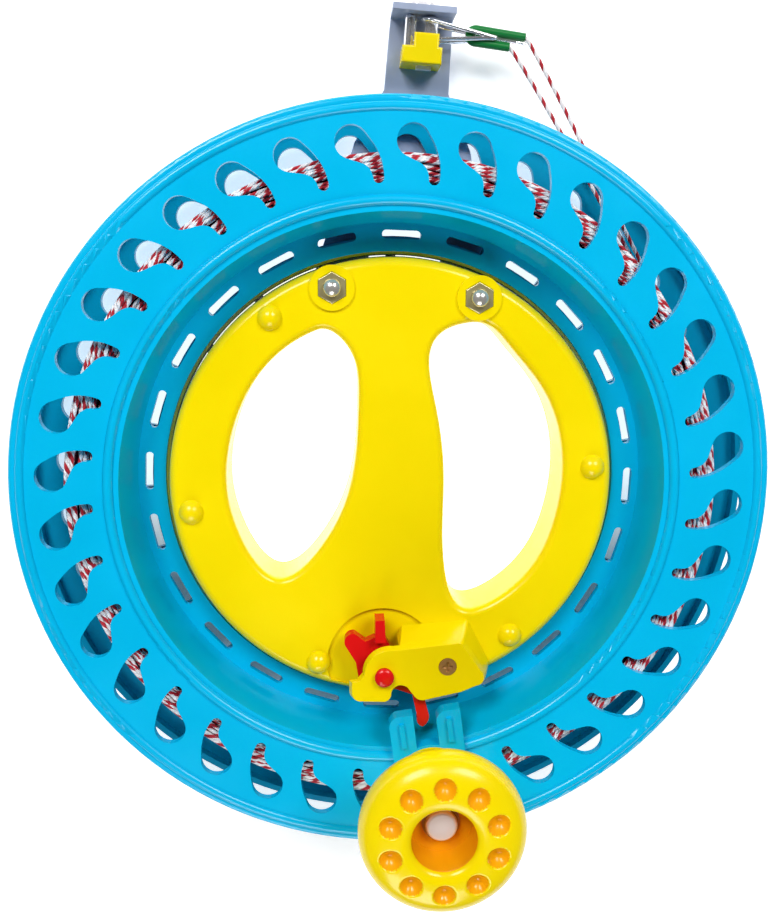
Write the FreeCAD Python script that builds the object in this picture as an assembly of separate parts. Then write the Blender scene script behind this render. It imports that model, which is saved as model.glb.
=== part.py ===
"""Hand-held kite line winder: a big spool that turns on a ring bearing round a fixed grip.

Millimetres. +Z is the wheel's axis and points out of the front, +Y points to the line guide,
+X to the right as seen from the front. The origin is on the axis, in the grip's flat back face.
"""
import FreeCAD
import Part

import math
import os

V = FreeCAD.Vector
AXIS_Z = V(0, 0, 1)
ORIGIN = V(0, 0, 0)

# General fits
running_gap = 0.05
body_gap = 0.3
seat_gap = 0.1

# Spool
flange_depth = 31.2
spool_back_z = 6.0
spool_width = 28.0
flange_thickness = 2.5
rim_wall = 1.8
rim_lip_depth = 3.5
rim_round = 1.5
outer_bead_inset = 3.4
outer_bead_half_width = 1.3
bead_height = 0.9
inner_bead_offset = 3.0
inner_bead_half_width = 1.5
inner_bead_height = 1.3
hub_draft = 2.4
hub_floor_width = 6.0
hub_wall = 1.8
hub_depth = 18.5
hub_floor_thickness = 2.2
race_cover = 2.2
drum_wall = 1.8
drum_gap = 0.2

# Comma-shaped holes of the flanges
comma_count = 36
comma_first_angle = 12.9
comma_tip_radius = 1.5
comma_tip_inset = 9.0
comma_head_radius = 4.6
comma_head_inset = 12.4
comma_head_offset = 7.0
commas_under_crank = (26, 27)

# Slots of the hub floor and windows of the back web
slot_count = 24
slot_first_angle = 12.6
slot_inset = 3.4
slot_width = 2.6
slot_length = 11.5
window_inset = 3.6
window_width = 5.8
window_angle = 9.6

# Screws that join the spool's halves
spool_screw_count = 6
spool_post_radius = 2.6
spool_screw_radius = 1.0
spool_screw_inset = 0.2
screw_head_radius = 2.2
screw_head_height = 1.3

# Ring bearing
race_width = 6.0
outer_race_wall = 1.8
race_space = 1.8
inner_race_wall = 2.2
inner_race_inner_radius = 64.6
ball_radius = 1.7
ball_groove_gap = 0.05
ball_count = 20
cage_wall = 0.9
cage_width = 4.6
back_lip_cover = 1.2

# Grip
grip_face_depth = 12.0
grip_edge_round = 3.0
grip_back_round = 2.0
grip_wall = 2.6
opening_round = 2.2
stud_angles = (4.0, 126.0, 188.0, 248.0, 307.0)
stud_inset = 5.9
stud_radius = 3.7
stud_height = 2.7
grip_screw_radius = 1.3
grip_screw_head_radius = 2.6
grip_screw_head_height = 1.8
grip_screw_length = 12.0

# Line guide and its two bolts
guide_angle = 86.0
guide_bolt_spacing = 43.0
guide_bolt_inset = 6.23442
guide_bolt_radius = 2.5
guide_bolt_head_radius = 4.4
guide_bolt_head_height = 2.7
guide_nut_flats = 8.0
guide_nut_height = 2.6
guide_boss_radius = 6.6
guide_boss_height = 0.8
guide_gap = 1.0
guide_plate_thickness = 1.8
guide_plate_foot_length = 6.3
guide_plate_foot_half_width = 28.0
guide_plate_waist_inset = 11.0
guide_plate_waist_half_width = 17.5
guide_plate_neck_offset = 5.0
guide_plate_neck_half_width = 9.6
guide_plate_top_half_width = 9.1
roller_length = 8.6
guide_lip_rise = 0.8
guide_bend_radius = 2.4
relief_half_width = 11.0
relief_offset = 5.7
relief_length = 22.0
relief_corner = 5.0
roller_height = 5.6
left_roller_offset = -3.4
left_roller_radius = 1.7
right_roller_offset = 2.5
right_roller_radius = 2.0
roller_pin_radius = 0.75
block_clearance = 11.2
block_base_length = 4.8
block_wall_length = 3.7
block_left = -5.6
block_right = 5.9
block_tower_left = -2.4
block_rise = 5.1
block_tower_wall = 1.4
pin_cap_length = 7.3
pin_cap_width = 5.0
pin_cap_height = 1.6
pin_foot_left = -1.1
pin_foot_right = 3.3
pin_foot_height = 0.9

# Lock
lock_pivot_x = -3.0
lock_pivot_inset = 10.3
lock_pin_radius = 2.55
lock_plate_gap = 3.0
lock_plate_thickness = 4.0
pawl_gap = 0.9
pawl_thickness = 3.2
pawl_overhang = 3.8
pawl_tip_x = 8.8
pawl_half_width = 1.6
thumb_tab_height = 7.0
recess_radius = 17.0
recess_depth = 1.2
cover_height = 12.5
cover_roof = 2.2
cover_screw_across = 18.9
cover_screw_along = 2.6
cover_screw_head_radius = 2.6
cover_screw_radius = 1.4
cover_post_radius = 3.2
lever_sweep = 36.0
pocket_gap = 1.2
pocket_start_lead = 18.0
pocket_end_lead = 20.0
knee_pocket_radius = 17.5
knee_pocket_end = 30.0
thumb_pocket_radius = 18.5

# Crank
crank_angle = 277.4
crank_offset = 11.2
ear_length = 22.5
ear_half_slot = 3.4
ear_half_width = 10.8
ear_sink = 1.4
ear_rise = 3.5
ear_foot_length = 6.0
ear_rib_gap = 12.8
ear_corner_round = 3.2
ear_rib_width = 1.5
ear_rib_height = 1.1
crank_boss_ledge = 0.6
knob_foot_radius = 11.8
knob_neck_radius = 9.6
knob_neck_height = 8.0
knob_radius = 23.4
knob_height = 34.2
knob_equator_height = 25.7
knob_face_radius = 19.2
knob_hole_radius = 9.0
knob_hole_floor_height = 21.7
knob_bore_radius = 2.1
dimple_count = 10
dimple_circle = 15.2
dimple_radius = 3.2
dimple_depth = 4.0
knob_bolt_radius = 2.0
knob_bolt_head_radius = 4.5
knob_bolt_head_height = 2.6
knob_washer_radius = 5.4
knob_washer_thickness = 0.8
knob_nut_flats = 7.0
knob_nut_height = 3.2

# Line
line_diameter = 1.2
pack_inset = 15.0
winding_loops = 13
winding_gap = 0.45
lead_wrap_angle = 24.0
lead_a_z = 15.7
lead_b_z = 18.3
lead_stub = 1.4
lead_bend_radius = 1.5

# Snap clip
clip_wire_diameter = 1.0
clip_meeting_across = 21.14878
clip_meeting_lift = 4.49314
clip_meeting_half_depth = 1.6
hairpin_lifts = (7.6, 2.4)
sleeve_diameter = 1.9
sleeve_half_height = 1.75
sleeve_slope = -8.0
sleeve_left_arm = 5.6
sleeve_upper_arm = 8.6
sleeve_lower_arm = 4.4
spine_length = 9.2

# Radii that follow from the bearing and the rim
inner_race_outer_radius = inner_race_inner_radius + inner_race_wall
outer_race_inner_radius = inner_race_outer_radius + race_space
outer_race_outer_radius = outer_race_inner_radius + outer_race_wall
ball_circle = (outer_race_inner_radius + inner_race_outer_radius) / 2
back_lip_radius = outer_race_outer_radius - back_lip_cover
hub_floor_radius = outer_race_outer_radius - race_cover
hub_foot_radius = outer_race_outer_radius + hub_floor_width
hub_mouth_radius = hub_foot_radius + hub_draft
spool_radius = hub_mouth_radius + flange_depth
drum_inner_radius = hub_mouth_radius + hub_wall + drum_gap
drum_outer_radius = drum_inner_radius + drum_wall
slot_radius = hub_foot_radius - slot_inset
window_inner_radius = hub_foot_radius - window_inset
window_outer_radius = window_inner_radius + window_width
spool_screw_circle = hub_foot_radius - spool_screw_inset
inner_bead_radius = hub_mouth_radius + inner_bead_offset
outer_bead_radius = spool_radius - outer_bead_inset
comma_tip_reach = hub_mouth_radius + comma_tip_inset
comma_head_reach = spool_radius - comma_head_inset
pack_radius = spool_radius - pack_inset
grip_radius = inner_race_outer_radius - body_gap
stud_circle = grip_radius - stud_inset
guide_bolt_reach = math.sqrt((grip_radius - guide_bolt_inset) ** 2 - (guide_bolt_spacing / 2) ** 2)
lock_pivot_y = lock_pivot_inset - grip_radius
cover_screw_x = lock_pivot_x + cover_screw_across
cover_screw_y = lock_pivot_y + cover_screw_along
pawl_tip_radius = outer_race_outer_radius + pawl_overhang
crank_reach = hub_mouth_radius + crank_offset
crank_boss_radius = knob_foot_radius + crank_boss_ledge
ear_inner_reach = crank_reach - ear_length
ear_outer_reach = crank_reach - ear_foot_length
ear_rib_end = crank_reach - ear_rib_gap

# Distances of the guide's parts from the wheel's axis
guide_plate_foot_reach = guide_bolt_reach - guide_plate_foot_length
guide_plate_waist_reach = spool_radius - guide_plate_waist_inset
guide_plate_neck_reach = spool_radius + guide_plate_neck_offset
block_bottom_reach = spool_radius + block_clearance
block_step_reach = block_bottom_reach + block_base_length
block_top_reach = block_step_reach + block_wall_length
guide_lip_reach = block_step_reach + roller_length + 2 * body_gap + guide_plate_thickness

# Levels, from the back to the front
spool_front_z = spool_back_z + spool_width
hub_floor_z = spool_front_z - hub_depth
hub_floor_back_z = hub_floor_z - hub_floor_thickness
race_front_z = hub_floor_back_z
race_back_z = race_front_z - race_width
inner_back_z = spool_back_z + flange_thickness
inner_front_z = spool_front_z - flange_thickness
grip_front_z = spool_front_z - grip_face_depth
guide_plate_front_z = spool_back_z - guide_gap
guide_plate_back_z = guide_plate_front_z - guide_plate_thickness
roller_z = guide_plate_front_z + roller_height
block_front_z = roller_z + block_rise
guide_lip_front_z = block_front_z + guide_lip_rise
lock_plate_back_z = grip_front_z + lock_plate_gap
thumb_tab_top_z = lock_plate_back_z + thumb_tab_height
cover_front_z = grip_front_z + cover_height
pawl_back_z = cover_front_z - cover_roof - pawl_gap - pawl_thickness
ear_back_z = spool_front_z - ear_sink
ear_front_z = spool_front_z + ear_rise
crank_boss_top_z = ear_front_z
knob_foot_z = crank_boss_top_z + body_gap
knob_equator_z = knob_foot_z + knob_equator_height
knob_face_z = knob_foot_z + knob_height
knob_hole_floor_z = knob_foot_z + knob_hole_floor_height


def polar(radius, angle, z=0.0):
    """A point at a radius and an angle in degrees round the wheel's axis."""
    turn = math.radians(angle)
    return V(radius * math.cos(turn), radius * math.sin(turn), z)


def tube(outer, inner, z0, z1):
    """A plain ring round the wheel's axis."""
    body = Part.makeCylinder(outer, z1 - z0, V(0, 0, z0))
    hole = Part.makeCylinder(inner, z1 - z0 + 2, V(0, 0, z0 - 1))
    return body.cut(hole)


def rod(radius, centre, z0, z1):
    """An upright cylinder at a place in the plan."""
    return Part.makeCylinder(radius, z1 - z0, V(centre.x, centre.y, z0))


def outline(points):
    """A closed wire: a point is a corner, a pair of points is an arc through the first to the second."""
    edges = []
    here = points[0]
    for step in list(points[1:]) + [points[0]]:
        if isinstance(step, tuple):
            edges.append(Part.Arc(here, step[0], step[1]).toShape())
            here = step[1]
        elif (step - here).Length > 1e-6:
            edges.append(Part.LineSegment(here, step).toShape())
            here = step
    return Part.Wire(edges)


def turned(points):
    """A solid of revolution from (radius, z) points, where a pair of them is an arc."""
    steps = [tuple(V(p[0], 0, p[1]) for p in step) if isinstance(step[0], tuple) else V(step[0], 0, step[1])
             for step in points]
    return Part.Face(outline(steps)).revolve(ORIGIN, AXIS_Z, 360)


def plate(wire, z0, z1):
    """A flat outline at height 0, raised between two levels."""
    body = Part.Face(wire).extrude(V(0, 0, z1 - z0))
    body.translate(V(0, 0, z0))
    return body


def hexagon(flats, centre, z0, z1):
    """A hexagonal prism across the given flats."""
    corner = flats / math.sqrt(3)
    points = [centre + polar(corner, 60 * k + 30) for k in range(6)]
    return plate(outline(points), z0, z1)


def turn_about_axis(shape, angle):
    """A copy of a shape turned round the wheel's axis."""
    copy = shape.copy()
    copy.rotate(ORIGIN, AXIS_Z, angle)
    return copy


def around(shape, count, first=0.0, skip=()):
    """Copies of a shape at even steps round the wheel's axis."""
    return [turn_about_axis(shape, first + 360.0 * k / count) for k in range(count) if k not in skip]


def save(name, shape):
    """Write one piece, or a group of like pieces, as its own file."""
    print(name, "solids", len(shape.Solids), "volume", round(shape.Volume, 1), "valid", shape.isValid())
    shape.exportStep("parts/" + name + ".step")


# Flanges and hub

def comma_wire():
    """One comma-shaped hole: a round head, a convex side and a side with a double curve to its tip."""
    tip = V(comma_tip_reach, 0, 0)
    head = V(comma_head_reach, comma_head_offset, 0)
    convex_end = head + V(math.cos(math.radians(-52)), math.sin(math.radians(-52)), 0) * comma_head_radius
    double_end = head + V(math.cos(math.radians(156)), math.sin(math.radians(156)), 0) * comma_head_radius
    head_top = head + V(math.cos(math.radians(52)), math.sin(math.radians(52)), 0) * comma_head_radius
    tip_right = tip + V(0, -comma_tip_radius, 0)
    tip_left = tip + V(0, comma_tip_radius, 0)
    convex = Part.BezierCurve()
    convex.setPoles([tip_right, tip_right + V(5.6, -0.2, 0),
                     convex_end - V(0.788, 0.616, 0) * 4.2, convex_end])
    double = Part.BezierCurve()
    double.setPoles([double_end, double_end - V(0.407, 0.914, 0) * 3.6,
                     tip_left + V(4.4, 0.6, 0), tip_left])
    edges = [convex.toShape(), Part.Arc(convex_end, head_top, double_end).toShape(), double.toShape(),
             Part.Arc(tip_left, tip + V(-comma_tip_radius, 0, 0), tip_right).toShape()]
    return Part.Wire(edges)


def comma_cutters(z0, z1, skip=()):
    """Cutters for all the comma-shaped holes of one flange."""
    return around(plate(comma_wire(), z0, z1), comma_count, comma_first_angle, skip)


def slot_cutters():
    """Cutters for the short slots of the hub floor."""
    half = (slot_length - slot_width) / 2
    end = slot_width / 2
    mid = slot_radius
    wire = outline([V(mid - end, -half, 0), (V(mid, -half - end, 0), V(mid + end, -half, 0)),
                    V(mid + end, half, 0), (V(mid, half + end, 0), V(mid - end, half, 0))])
    one = plate(wire, hub_floor_back_z - 1, hub_floor_z + 1)
    return around(one, slot_count, slot_first_angle)


def window_cutters():
    """Cutters for the windows of the back web, one behind each slot."""
    sector = Part.makeCylinder(window_outer_radius, flange_thickness + 2, V(0, 0, spool_back_z - 1),
                               AXIS_Z, window_angle)
    core = Part.makeCylinder(window_inner_radius, flange_thickness + 2, V(0, 0, spool_back_z - 1))
    sector = sector.cut(core)
    return around(sector, slot_count, slot_first_angle - window_angle / 2)


def spool_screw_places():
    """Where the spool's screws stand: on ribs of the back web, midway between two slots."""
    step = 360.0 / spool_screw_count
    first = slot_first_angle + 180.0 / slot_count
    return [polar(spool_screw_circle, first + step * k) for k in range(spool_screw_count)]


def front_half_blank():
    """The front half of the spool before its holes are cut."""
    front = spool_front_z
    under = inner_front_z
    return turned([
        (hub_floor_radius, hub_floor_back_z), (hub_floor_radius, hub_floor_z), (hub_foot_radius, hub_floor_z),
        (hub_mouth_radius, front),
        (inner_bead_radius - inner_bead_half_width, front),
        ((inner_bead_radius, front + inner_bead_height), (inner_bead_radius + inner_bead_half_width, front)),
        (outer_bead_radius - outer_bead_half_width, front),
        ((outer_bead_radius, front + bead_height), (outer_bead_radius + outer_bead_half_width, front)),
        (spool_radius - rim_round, front),
        ((spool_radius - 0.3 * rim_round, front - 0.3 * rim_round), (spool_radius, front - rim_round)),
        (spool_radius, under - rim_lip_depth), (spool_radius - rim_wall, under - rim_lip_depth),
        (spool_radius - rim_wall, under), (hub_mouth_radius + hub_wall, under),
        (hub_foot_radius + hub_wall, hub_floor_back_z)])


def spool_front(crank_bolt_hole):
    """Front half: flange with comma-shaped holes, hub wall, slotted floor and screw posts."""
    body = front_half_blank()
    posts = [rod(spool_post_radius, place, inner_back_z, hub_floor_back_z + 0.1)
             for place in spool_screw_places()]
    body = body.fuse(posts)
    holes = comma_cutters(inner_front_z - 1, spool_front_z + 2, commas_under_crank) + slot_cutters()
    holes += [rod(spool_screw_radius, place, inner_back_z - 1, hub_floor_back_z - 0.4)
              for place in spool_screw_places()]
    holes.append(crank_bolt_hole)
    return body.cut(Part.makeCompound(holes))


def spool_back():
    """Back half: flange, drum wall under the line, web with windows and the bearing's seat."""
    back = spool_back_z
    body = turned([
        (back_lip_radius, back), (back_lip_radius, race_back_z),
        (outer_race_outer_radius, race_back_z), (outer_race_outer_radius, race_front_z),
        (window_inner_radius - 0.4, race_front_z), (window_inner_radius - 0.4, inner_back_z),
        (drum_inner_radius, inner_back_z), (drum_inner_radius, inner_front_z), (drum_outer_radius, inner_front_z),
        (drum_outer_radius, inner_back_z), (spool_radius - rim_wall, inner_back_z),
        (spool_radius - rim_wall, inner_back_z + rim_lip_depth), (spool_radius, inner_back_z + rim_lip_depth),
        (spool_radius, back + rim_round),
        ((spool_radius - 0.3 * rim_round, back + 0.3 * rim_round), (spool_radius - rim_round, back))])
    holes = comma_cutters(spool_back_z - 1, inner_back_z + 1) + window_cutters()
    for place in spool_screw_places():
        holes.append(rod(spool_screw_radius + 0.2, place, back - 1, inner_back_z + 1))
        holes.append(rod(screw_head_radius + seat_gap, place, back - 1, back + screw_head_height))
    return body.cut(Part.makeCompound(holes))


def spool_screws():
    """Screws with low heads, sunk in the back web and driven into the posts of the front half."""
    head_top = spool_back_z + screw_head_height
    screws = []
    for place in spool_screw_places():
        shank = rod(spool_screw_radius, place, head_top - 0.1, hub_floor_back_z - 0.6)
        screws.append(rod(screw_head_radius, place, spool_back_z + 0.1, head_top).fuse(shank))
    return Part.makeCompound(screws)


# Bearing

def groove():
    """The ring that the balls' grooves are cut with."""
    return Part.makeTorus(ball_circle, ball_radius + ball_groove_gap, V(0, 0, race_mid_z()))


def race_mid_z():
    """Mid level of the bearing."""
    return (race_back_z + race_front_z) / 2


def bearing_outer_race():
    """Outer ring of the bearing, held between the spool's halves."""
    return tube(outer_race_outer_radius, outer_race_inner_radius, race_back_z, race_front_z).cut(groove())


def bearing_inner_race():
    """Inner ring of the bearing, held between the grip's halves."""
    return tube(inner_race_outer_radius, inner_race_inner_radius, race_back_z, race_front_z).cut(groove())


def bearing_balls():
    """The balls, evenly spaced by the cage."""
    one = Part.makeSphere(ball_radius, polar(ball_circle, 0, race_mid_z()))
    return Part.makeCompound(around(one, ball_count))


def bearing_cage():
    """Thin ring with a pocket for each ball."""
    half = cage_width / 2
    ring = tube(ball_circle + cage_wall / 2, ball_circle - cage_wall / 2,
                race_mid_z() - half, race_mid_z() + half)
    pocket = Part.makeCylinder(ball_radius + running_gap, 6, polar(ball_circle - 3, 0, race_mid_z()), V(1, 0, 0))
    return ring.cut(Part.makeCompound(around(pocket, ball_count)))


# Grip

def grown(points, distance):
    """Points of a closed outline, listed anticlockwise, moved outwards square to their neighbours' chord."""
    moved = []
    for k, point in enumerate(points):
        chord = (points[(k + 1) % len(points)] - points[k - 1]).normalize()
        moved.append(point + V(chord.y, -chord.x, 0) * distance)
    return moved


def closed_curve(points):
    """A smooth closed outline through the given points, in two edges."""
    curve = Part.BSplineCurve()
    curve.interpolate(points, PeriodicFlag=True)
    first, last = curve.FirstParameter, curve.LastParameter
    middle = (first + last) / 2
    return Part.Wire([curve.toShape(first, middle), curve.toShape(middle, last)])


def opening_wires(grow=0.0):
    """The two finger openings, left and right of the bar."""
    left = [V(-22.0, 45.4, 0), V(-39.5, 32.0, 0), V(-48.4, 11.0, 0), V(-46.6, -14.0, 0),
            V(-34.0, -29.6, 0), V(-20.5, -18.5, 0), V(-12.0, 1.5, 0), V(-10.0, 25.0, 0),
            V(-13.0, 40.5, 0)]
    right = [V(22.5, 47.4, 0), V(12.2, 41.5, 0), V(13.4, 22.0, 0), V(15.8, 0.0, 0),
             V(16.0, -25.0, 0), V(21.5, -39.5, 0), V(37.0, -33.5, 0), V(49.5, -12.5, 0),
             V(51.6, 5.0, 0), V(45.5, 27.0, 0), V(34.5, 41.0, 0)]
    return [closed_curve(grown(left, grow)), closed_curve(grown(right, grow))]


def guide_place(across, along, z=0.0):
    """A point in the guide's own frame: across it, and outwards along it."""
    turn = math.radians(guide_angle)
    outward = V(math.cos(turn), math.sin(turn), 0)
    sideways = V(math.sin(turn), -math.cos(turn), 0)
    return sideways * across + outward * along + V(0, 0, z)


def guide_bolt_places():
    """The two bolts that hold the guide on the grip."""
    return [guide_place(side * guide_bolt_spacing / 2, guide_bolt_reach) for side in (-1, 1)]


def stud_places():
    """The five studs of the grip's face, each over a screw from behind."""
    return [polar(stud_circle, angle) for angle in stud_angles]


def stud(place, face):
    """A domed stud on a flat face."""
    radius = (stud_radius ** 2 + stud_height ** 2) / (2 * stud_height)
    dome = Part.makeSphere(radius, V(place.x, place.y, face + stud_height - radius))
    return dome.common(rod(stud_radius + 1, place, face - grip_wall / 2, face + stud_height + 1))


def grip_core(lower, upper, wall):
    """The space inside one half of the grip: its walls and the walls of its openings are left."""
    core = Part.makeCylinder(inner_race_inner_radius - wall, upper - lower, V(0, 0, lower))
    for wire in opening_wires(wall):
        core = core.cut(plate(wire, lower - 1, upper + 1))
    places = [(place, stud_radius + 0.6) for place in stud_places()]
    places += [(place, guide_boss_radius) for place in guide_bolt_places()]
    places.append((V(cover_screw_x, cover_screw_y, 0), stud_radius))
    places.append((V(lock_pivot_x, lock_pivot_y, 0), stud_radius + 1.5))
    for place, radius in places:
        core = core.cut(rod(radius, place, lower - 1, upper + 1))
    return core


def round_opening_edges(body, level, radius):
    """Round the edges of the finger openings on one face."""
    edges = []
    for edge in body.Edges:
        box = edge.BoundBox
        flat = abs(box.ZMin - level) < 0.01 and abs(box.ZMax - level) < 0.01
        if flat and max(V(vertex.X, vertex.Y, 0).Length for vertex in edge.Vertexes) < 60:
            edges.append(edge)
    return body.makeFillet(radius, edges)


def grip_front():
    """Front half of the grip: rounded disc, finger openings, studs, nut bosses and the lock's recess."""
    face = grip_front_z
    side = face - grip_edge_round
    body = turned([(0, race_front_z), (grip_radius, race_front_z), (grip_radius, side),
                   ((grip_radius - 0.293 * grip_edge_round, face - 0.293 * grip_edge_round),
                    (grip_radius - grip_edge_round, face)), (0, face)])
    for wire in opening_wires():
        body = body.cut(plate(wire, race_front_z - 1, face + 1))
    body = round_opening_edges(body, face, opening_round)
    body = body.cut(grip_core(race_front_z - 1, face - grip_wall, grip_wall))
    pivot = V(lock_pivot_x, lock_pivot_y, 0)
    rim_keep = Part.makeCylinder(grip_radius - 1.6, 10, V(0, 0, face - recess_depth))
    body = body.cut(rod(recess_radius, pivot, face - recess_depth, face + 1).common(rim_keep))
    domes = [stud(place, face) for place in stud_places()]
    for place in guide_bolt_places():
        domes.append(rod(guide_boss_radius, place, face - 1, face + guide_boss_height))
    body = body.fuse(domes)
    holes = []
    for place in guide_bolt_places():
        holes.append(rod(guide_bolt_radius + seat_gap, place, race_front_z - 2, face + 3))
        holes.append(hexagon(guide_nut_flats + 2 * seat_gap, place,
                             face + guide_boss_height - guide_nut_height, face + 3))
    for place in stud_places():
        holes.append(rod(grip_screw_radius, place, race_front_z - 1, race_front_z + 6))
    holes.append(rod(lock_pin_radius + running_gap, pivot, face - 6, face + 1))
    holes.append(rod(cover_screw_radius, V(cover_screw_x, cover_screw_y, 0), face - 7, face + 1))
    return body.cut(Part.makeCompound(holes)).removeSplitter()


def grip_back(guide_pocket):
    """Back half of the grip: flat back, bearing seat, recess for the guide plate and screw holes."""
    body = turned([(0, 0), (grip_radius - grip_back_round, 0),
                   ((grip_radius - 0.293 * grip_back_round, 0.293 * grip_back_round),
                    (grip_radius, grip_back_round)),
                   (grip_radius, race_back_z), (inner_race_inner_radius, race_back_z),
                   (inner_race_inner_radius, race_front_z), (0, race_front_z)])
    for wire in opening_wires():
        body = body.cut(plate(wire, -1, race_front_z + 1))
    body = round_opening_edges(body, 0, opening_round)
    body = body.cut(grip_core(guide_plate_front_z + grip_wall, race_front_z + 1, grip_wall))
    holes = [guide_pocket]
    for place in guide_bolt_places():
        holes.append(rod(guide_bolt_radius + seat_gap, place, -1, race_front_z + 1))
    for place in stud_places():
        holes.append(rod(grip_screw_radius + 0.2, place, -1, race_front_z + 1))
        holes.append(rod(grip_screw_head_radius + seat_gap, place, -1, grip_screw_head_height + 0.2))
    return body.cut(Part.makeCompound(holes)).removeSplitter()


def grip_screws():
    """Five screws from the back of the grip into its front half."""
    screws = []
    for place in stud_places():
        head = rod(grip_screw_head_radius, place, 0.2, grip_screw_head_height + 0.2)
        cross = Part.makeBox(3.0, 0.7, 0.8, V(place.x - 1.5, place.y - 0.35, 0.1))
        other = Part.makeBox(0.7, 3.0, 0.8, V(place.x - 0.35, place.y - 1.5, 0.1))
        shank = rod(grip_screw_radius, place, 1.0, grip_screw_head_height + grip_screw_length)
        screws.append(head.fuse(shank).cut(cross.fuse(other)))
    return Part.makeCompound(screws)


# Line guide

def guide_plate_wire(extra=0.0):
    """Outline of the guide's steel plate, wide at its two bolts and narrow above the wheel."""
    foot = guide_plate_foot_half_width + extra
    waist = guide_plate_waist_half_width + extra
    neck = guide_plate_neck_half_width + extra
    top = guide_plate_top_half_width + extra
    low = guide_plate_foot_reach - extra
    corner = 6.0
    points = [guide_place(-foot + corner, low), guide_place(foot - corner, low),
              (guide_place(foot - 0.293 * corner, low + 0.293 * corner), guide_place(foot, low + corner)),
              guide_place(waist, guide_plate_waist_reach), guide_place(neck, guide_plate_neck_reach),
              guide_place(top, guide_lip_reach + extra), guide_place(-top, guide_lip_reach + extra),
              guide_place(-neck, guide_plate_neck_reach), guide_place(-waist, guide_plate_waist_reach),
              guide_place(-foot, low + corner),
              (guide_place(-foot + 0.293 * corner, low + 0.293 * corner), guide_place(-foot + corner, low))]
    return outline(points)


def guide_box(left, right, low, high, z0, z1):
    """A box in the guide's own frame."""
    points = [guide_place(left, low), guide_place(right, low),
              guide_place(right, high), guide_place(left, high)]
    return plate(outline(points), z0, z1)


def guide_bracket():
    """Bent steel plate: bolted behind the grip, up behind the wheel, folded forward at the top."""
    half = guide_plate_foot_half_width + 1
    back = guide_plate_back_z
    front = guide_plate_front_z
    lip = guide_lip_reach
    bend = guide_bend_radius
    inner_bend = guide_bend_radius - guide_plate_thickness
    inner = lip - guide_plate_thickness
    low = guide_plate_foot_reach - 1
    profile = outline([guide_place(-half, low, back), guide_place(-half, lip - bend, back),
                       (guide_place(-half, lip - 0.293 * bend, back + 0.293 * bend),
                        guide_place(-half, lip, back + bend)),
                       guide_place(-half, lip, guide_lip_front_z),
                       guide_place(-half, inner, guide_lip_front_z),
                       guide_place(-half, inner, front + inner_bend),
                       (guide_place(-half, inner - 0.293 * inner_bend, front + 0.293 * inner_bend),
                        guide_place(-half, inner - inner_bend, front)),
                       guide_place(-half, low, front)])
    folded = Part.Face(profile).extrude(guide_place(1, 0) * (2 * half))
    body = folded.common(plate(guide_plate_wire(), back - 1, guide_lip_front_z + 1))
    holes = [rod(guide_bolt_radius + seat_gap, place, back - 1, front + 1) for place in guide_bolt_places()]
    for offset in (left_roller_offset, right_roller_offset):
        holes.append(guide_pin(offset, roller_pin_radius + running_gap, lip - 4, lip + 1))
    relief = guide_box(-relief_half_width, relief_half_width, guide_bolt_reach + relief_offset,
                       guide_bolt_reach + relief_offset + relief_length, back - 1, front + 1)
    upright = [edge for edge in relief.Edges if edge.BoundBox.ZLength > 1]
    holes.append(relief.makeFillet(relief_corner, upright))
    return body.cut(Part.makeCompound(holes))


def guide_pin(offset, radius, low, high):
    """A cylinder that lies along the guide, at the rollers' level."""
    along = guide_place(0, 1)
    return Part.makeCylinder(radius, high - low, guide_place(offset, low, roller_z), along)


def guide_roller(offset, radius):
    """A chrome roller on its pin, between the block and the folded lip."""
    low = block_step_reach + body_gap
    high = guide_lip_reach - guide_plate_thickness - body_gap
    body = guide_pin(offset, radius, low, high)
    rims = [edge for edge in body.Edges if abs(edge.Length - 2 * math.pi * radius) < 0.01]
    body = body.makeChamfer(0.25, rims)
    return body.cut(guide_pin(offset, roller_pin_radius + running_gap, low - 1, high + 1))


def guide_pins():
    """The rollers' two pins with the cap over the lip and the foot under the block."""
    left = guide_pin(left_roller_offset, roller_pin_radius, block_bottom_reach + 1, guide_lip_reach + 0.2)
    right = guide_pin(right_roller_offset, roller_pin_radius, block_bottom_reach - 0.1, guide_lip_reach + 0.2)
    middle = (left_roller_offset + right_roller_offset) / 2
    radius = pin_cap_width / 2
    half = pin_cap_length / 2 - radius
    low = guide_lip_reach
    high = guide_lip_reach + pin_cap_height
    ends = [guide_pin(middle - half, radius, low, high), guide_pin(middle + half, radius, low, high)]
    bar = guide_box(middle - half, middle + half, low, high, roller_z - radius, roller_z + radius)
    foot = guide_box(pin_foot_left, pin_foot_right, block_bottom_reach - pin_foot_height,
                     block_bottom_reach, roller_z - 1.2, roller_z + 1.2)
    return left.fuse([right, bar, foot] + ends).removeSplitter()


def guide_block():
    """Yellow block that carries the rollers' pins: a base, and a wall in front of the rollers' feet."""
    back = guide_plate_front_z
    base = guide_box(block_left, block_right, block_bottom_reach, block_step_reach, back, block_front_z)
    wall = guide_box(block_tower_left, block_right - 1.1, block_step_reach - 0.1, block_top_reach,
                     block_front_z - block_tower_wall, block_front_z)
    body = base.fuse(wall).removeSplitter()
    front_edges = [edge for edge in body.Edges if abs(edge.BoundBox.ZMin - block_front_z) < 0.01]
    body = body.makeFillet(0.6, front_edges)
    pins = [guide_pin(left_roller_offset, roller_pin_radius, block_bottom_reach + 1, block_top_reach),
            guide_pin(right_roller_offset, roller_pin_radius, block_bottom_reach - 1, block_top_reach)]
    return body.cut(Part.makeCompound(pins))


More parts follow.
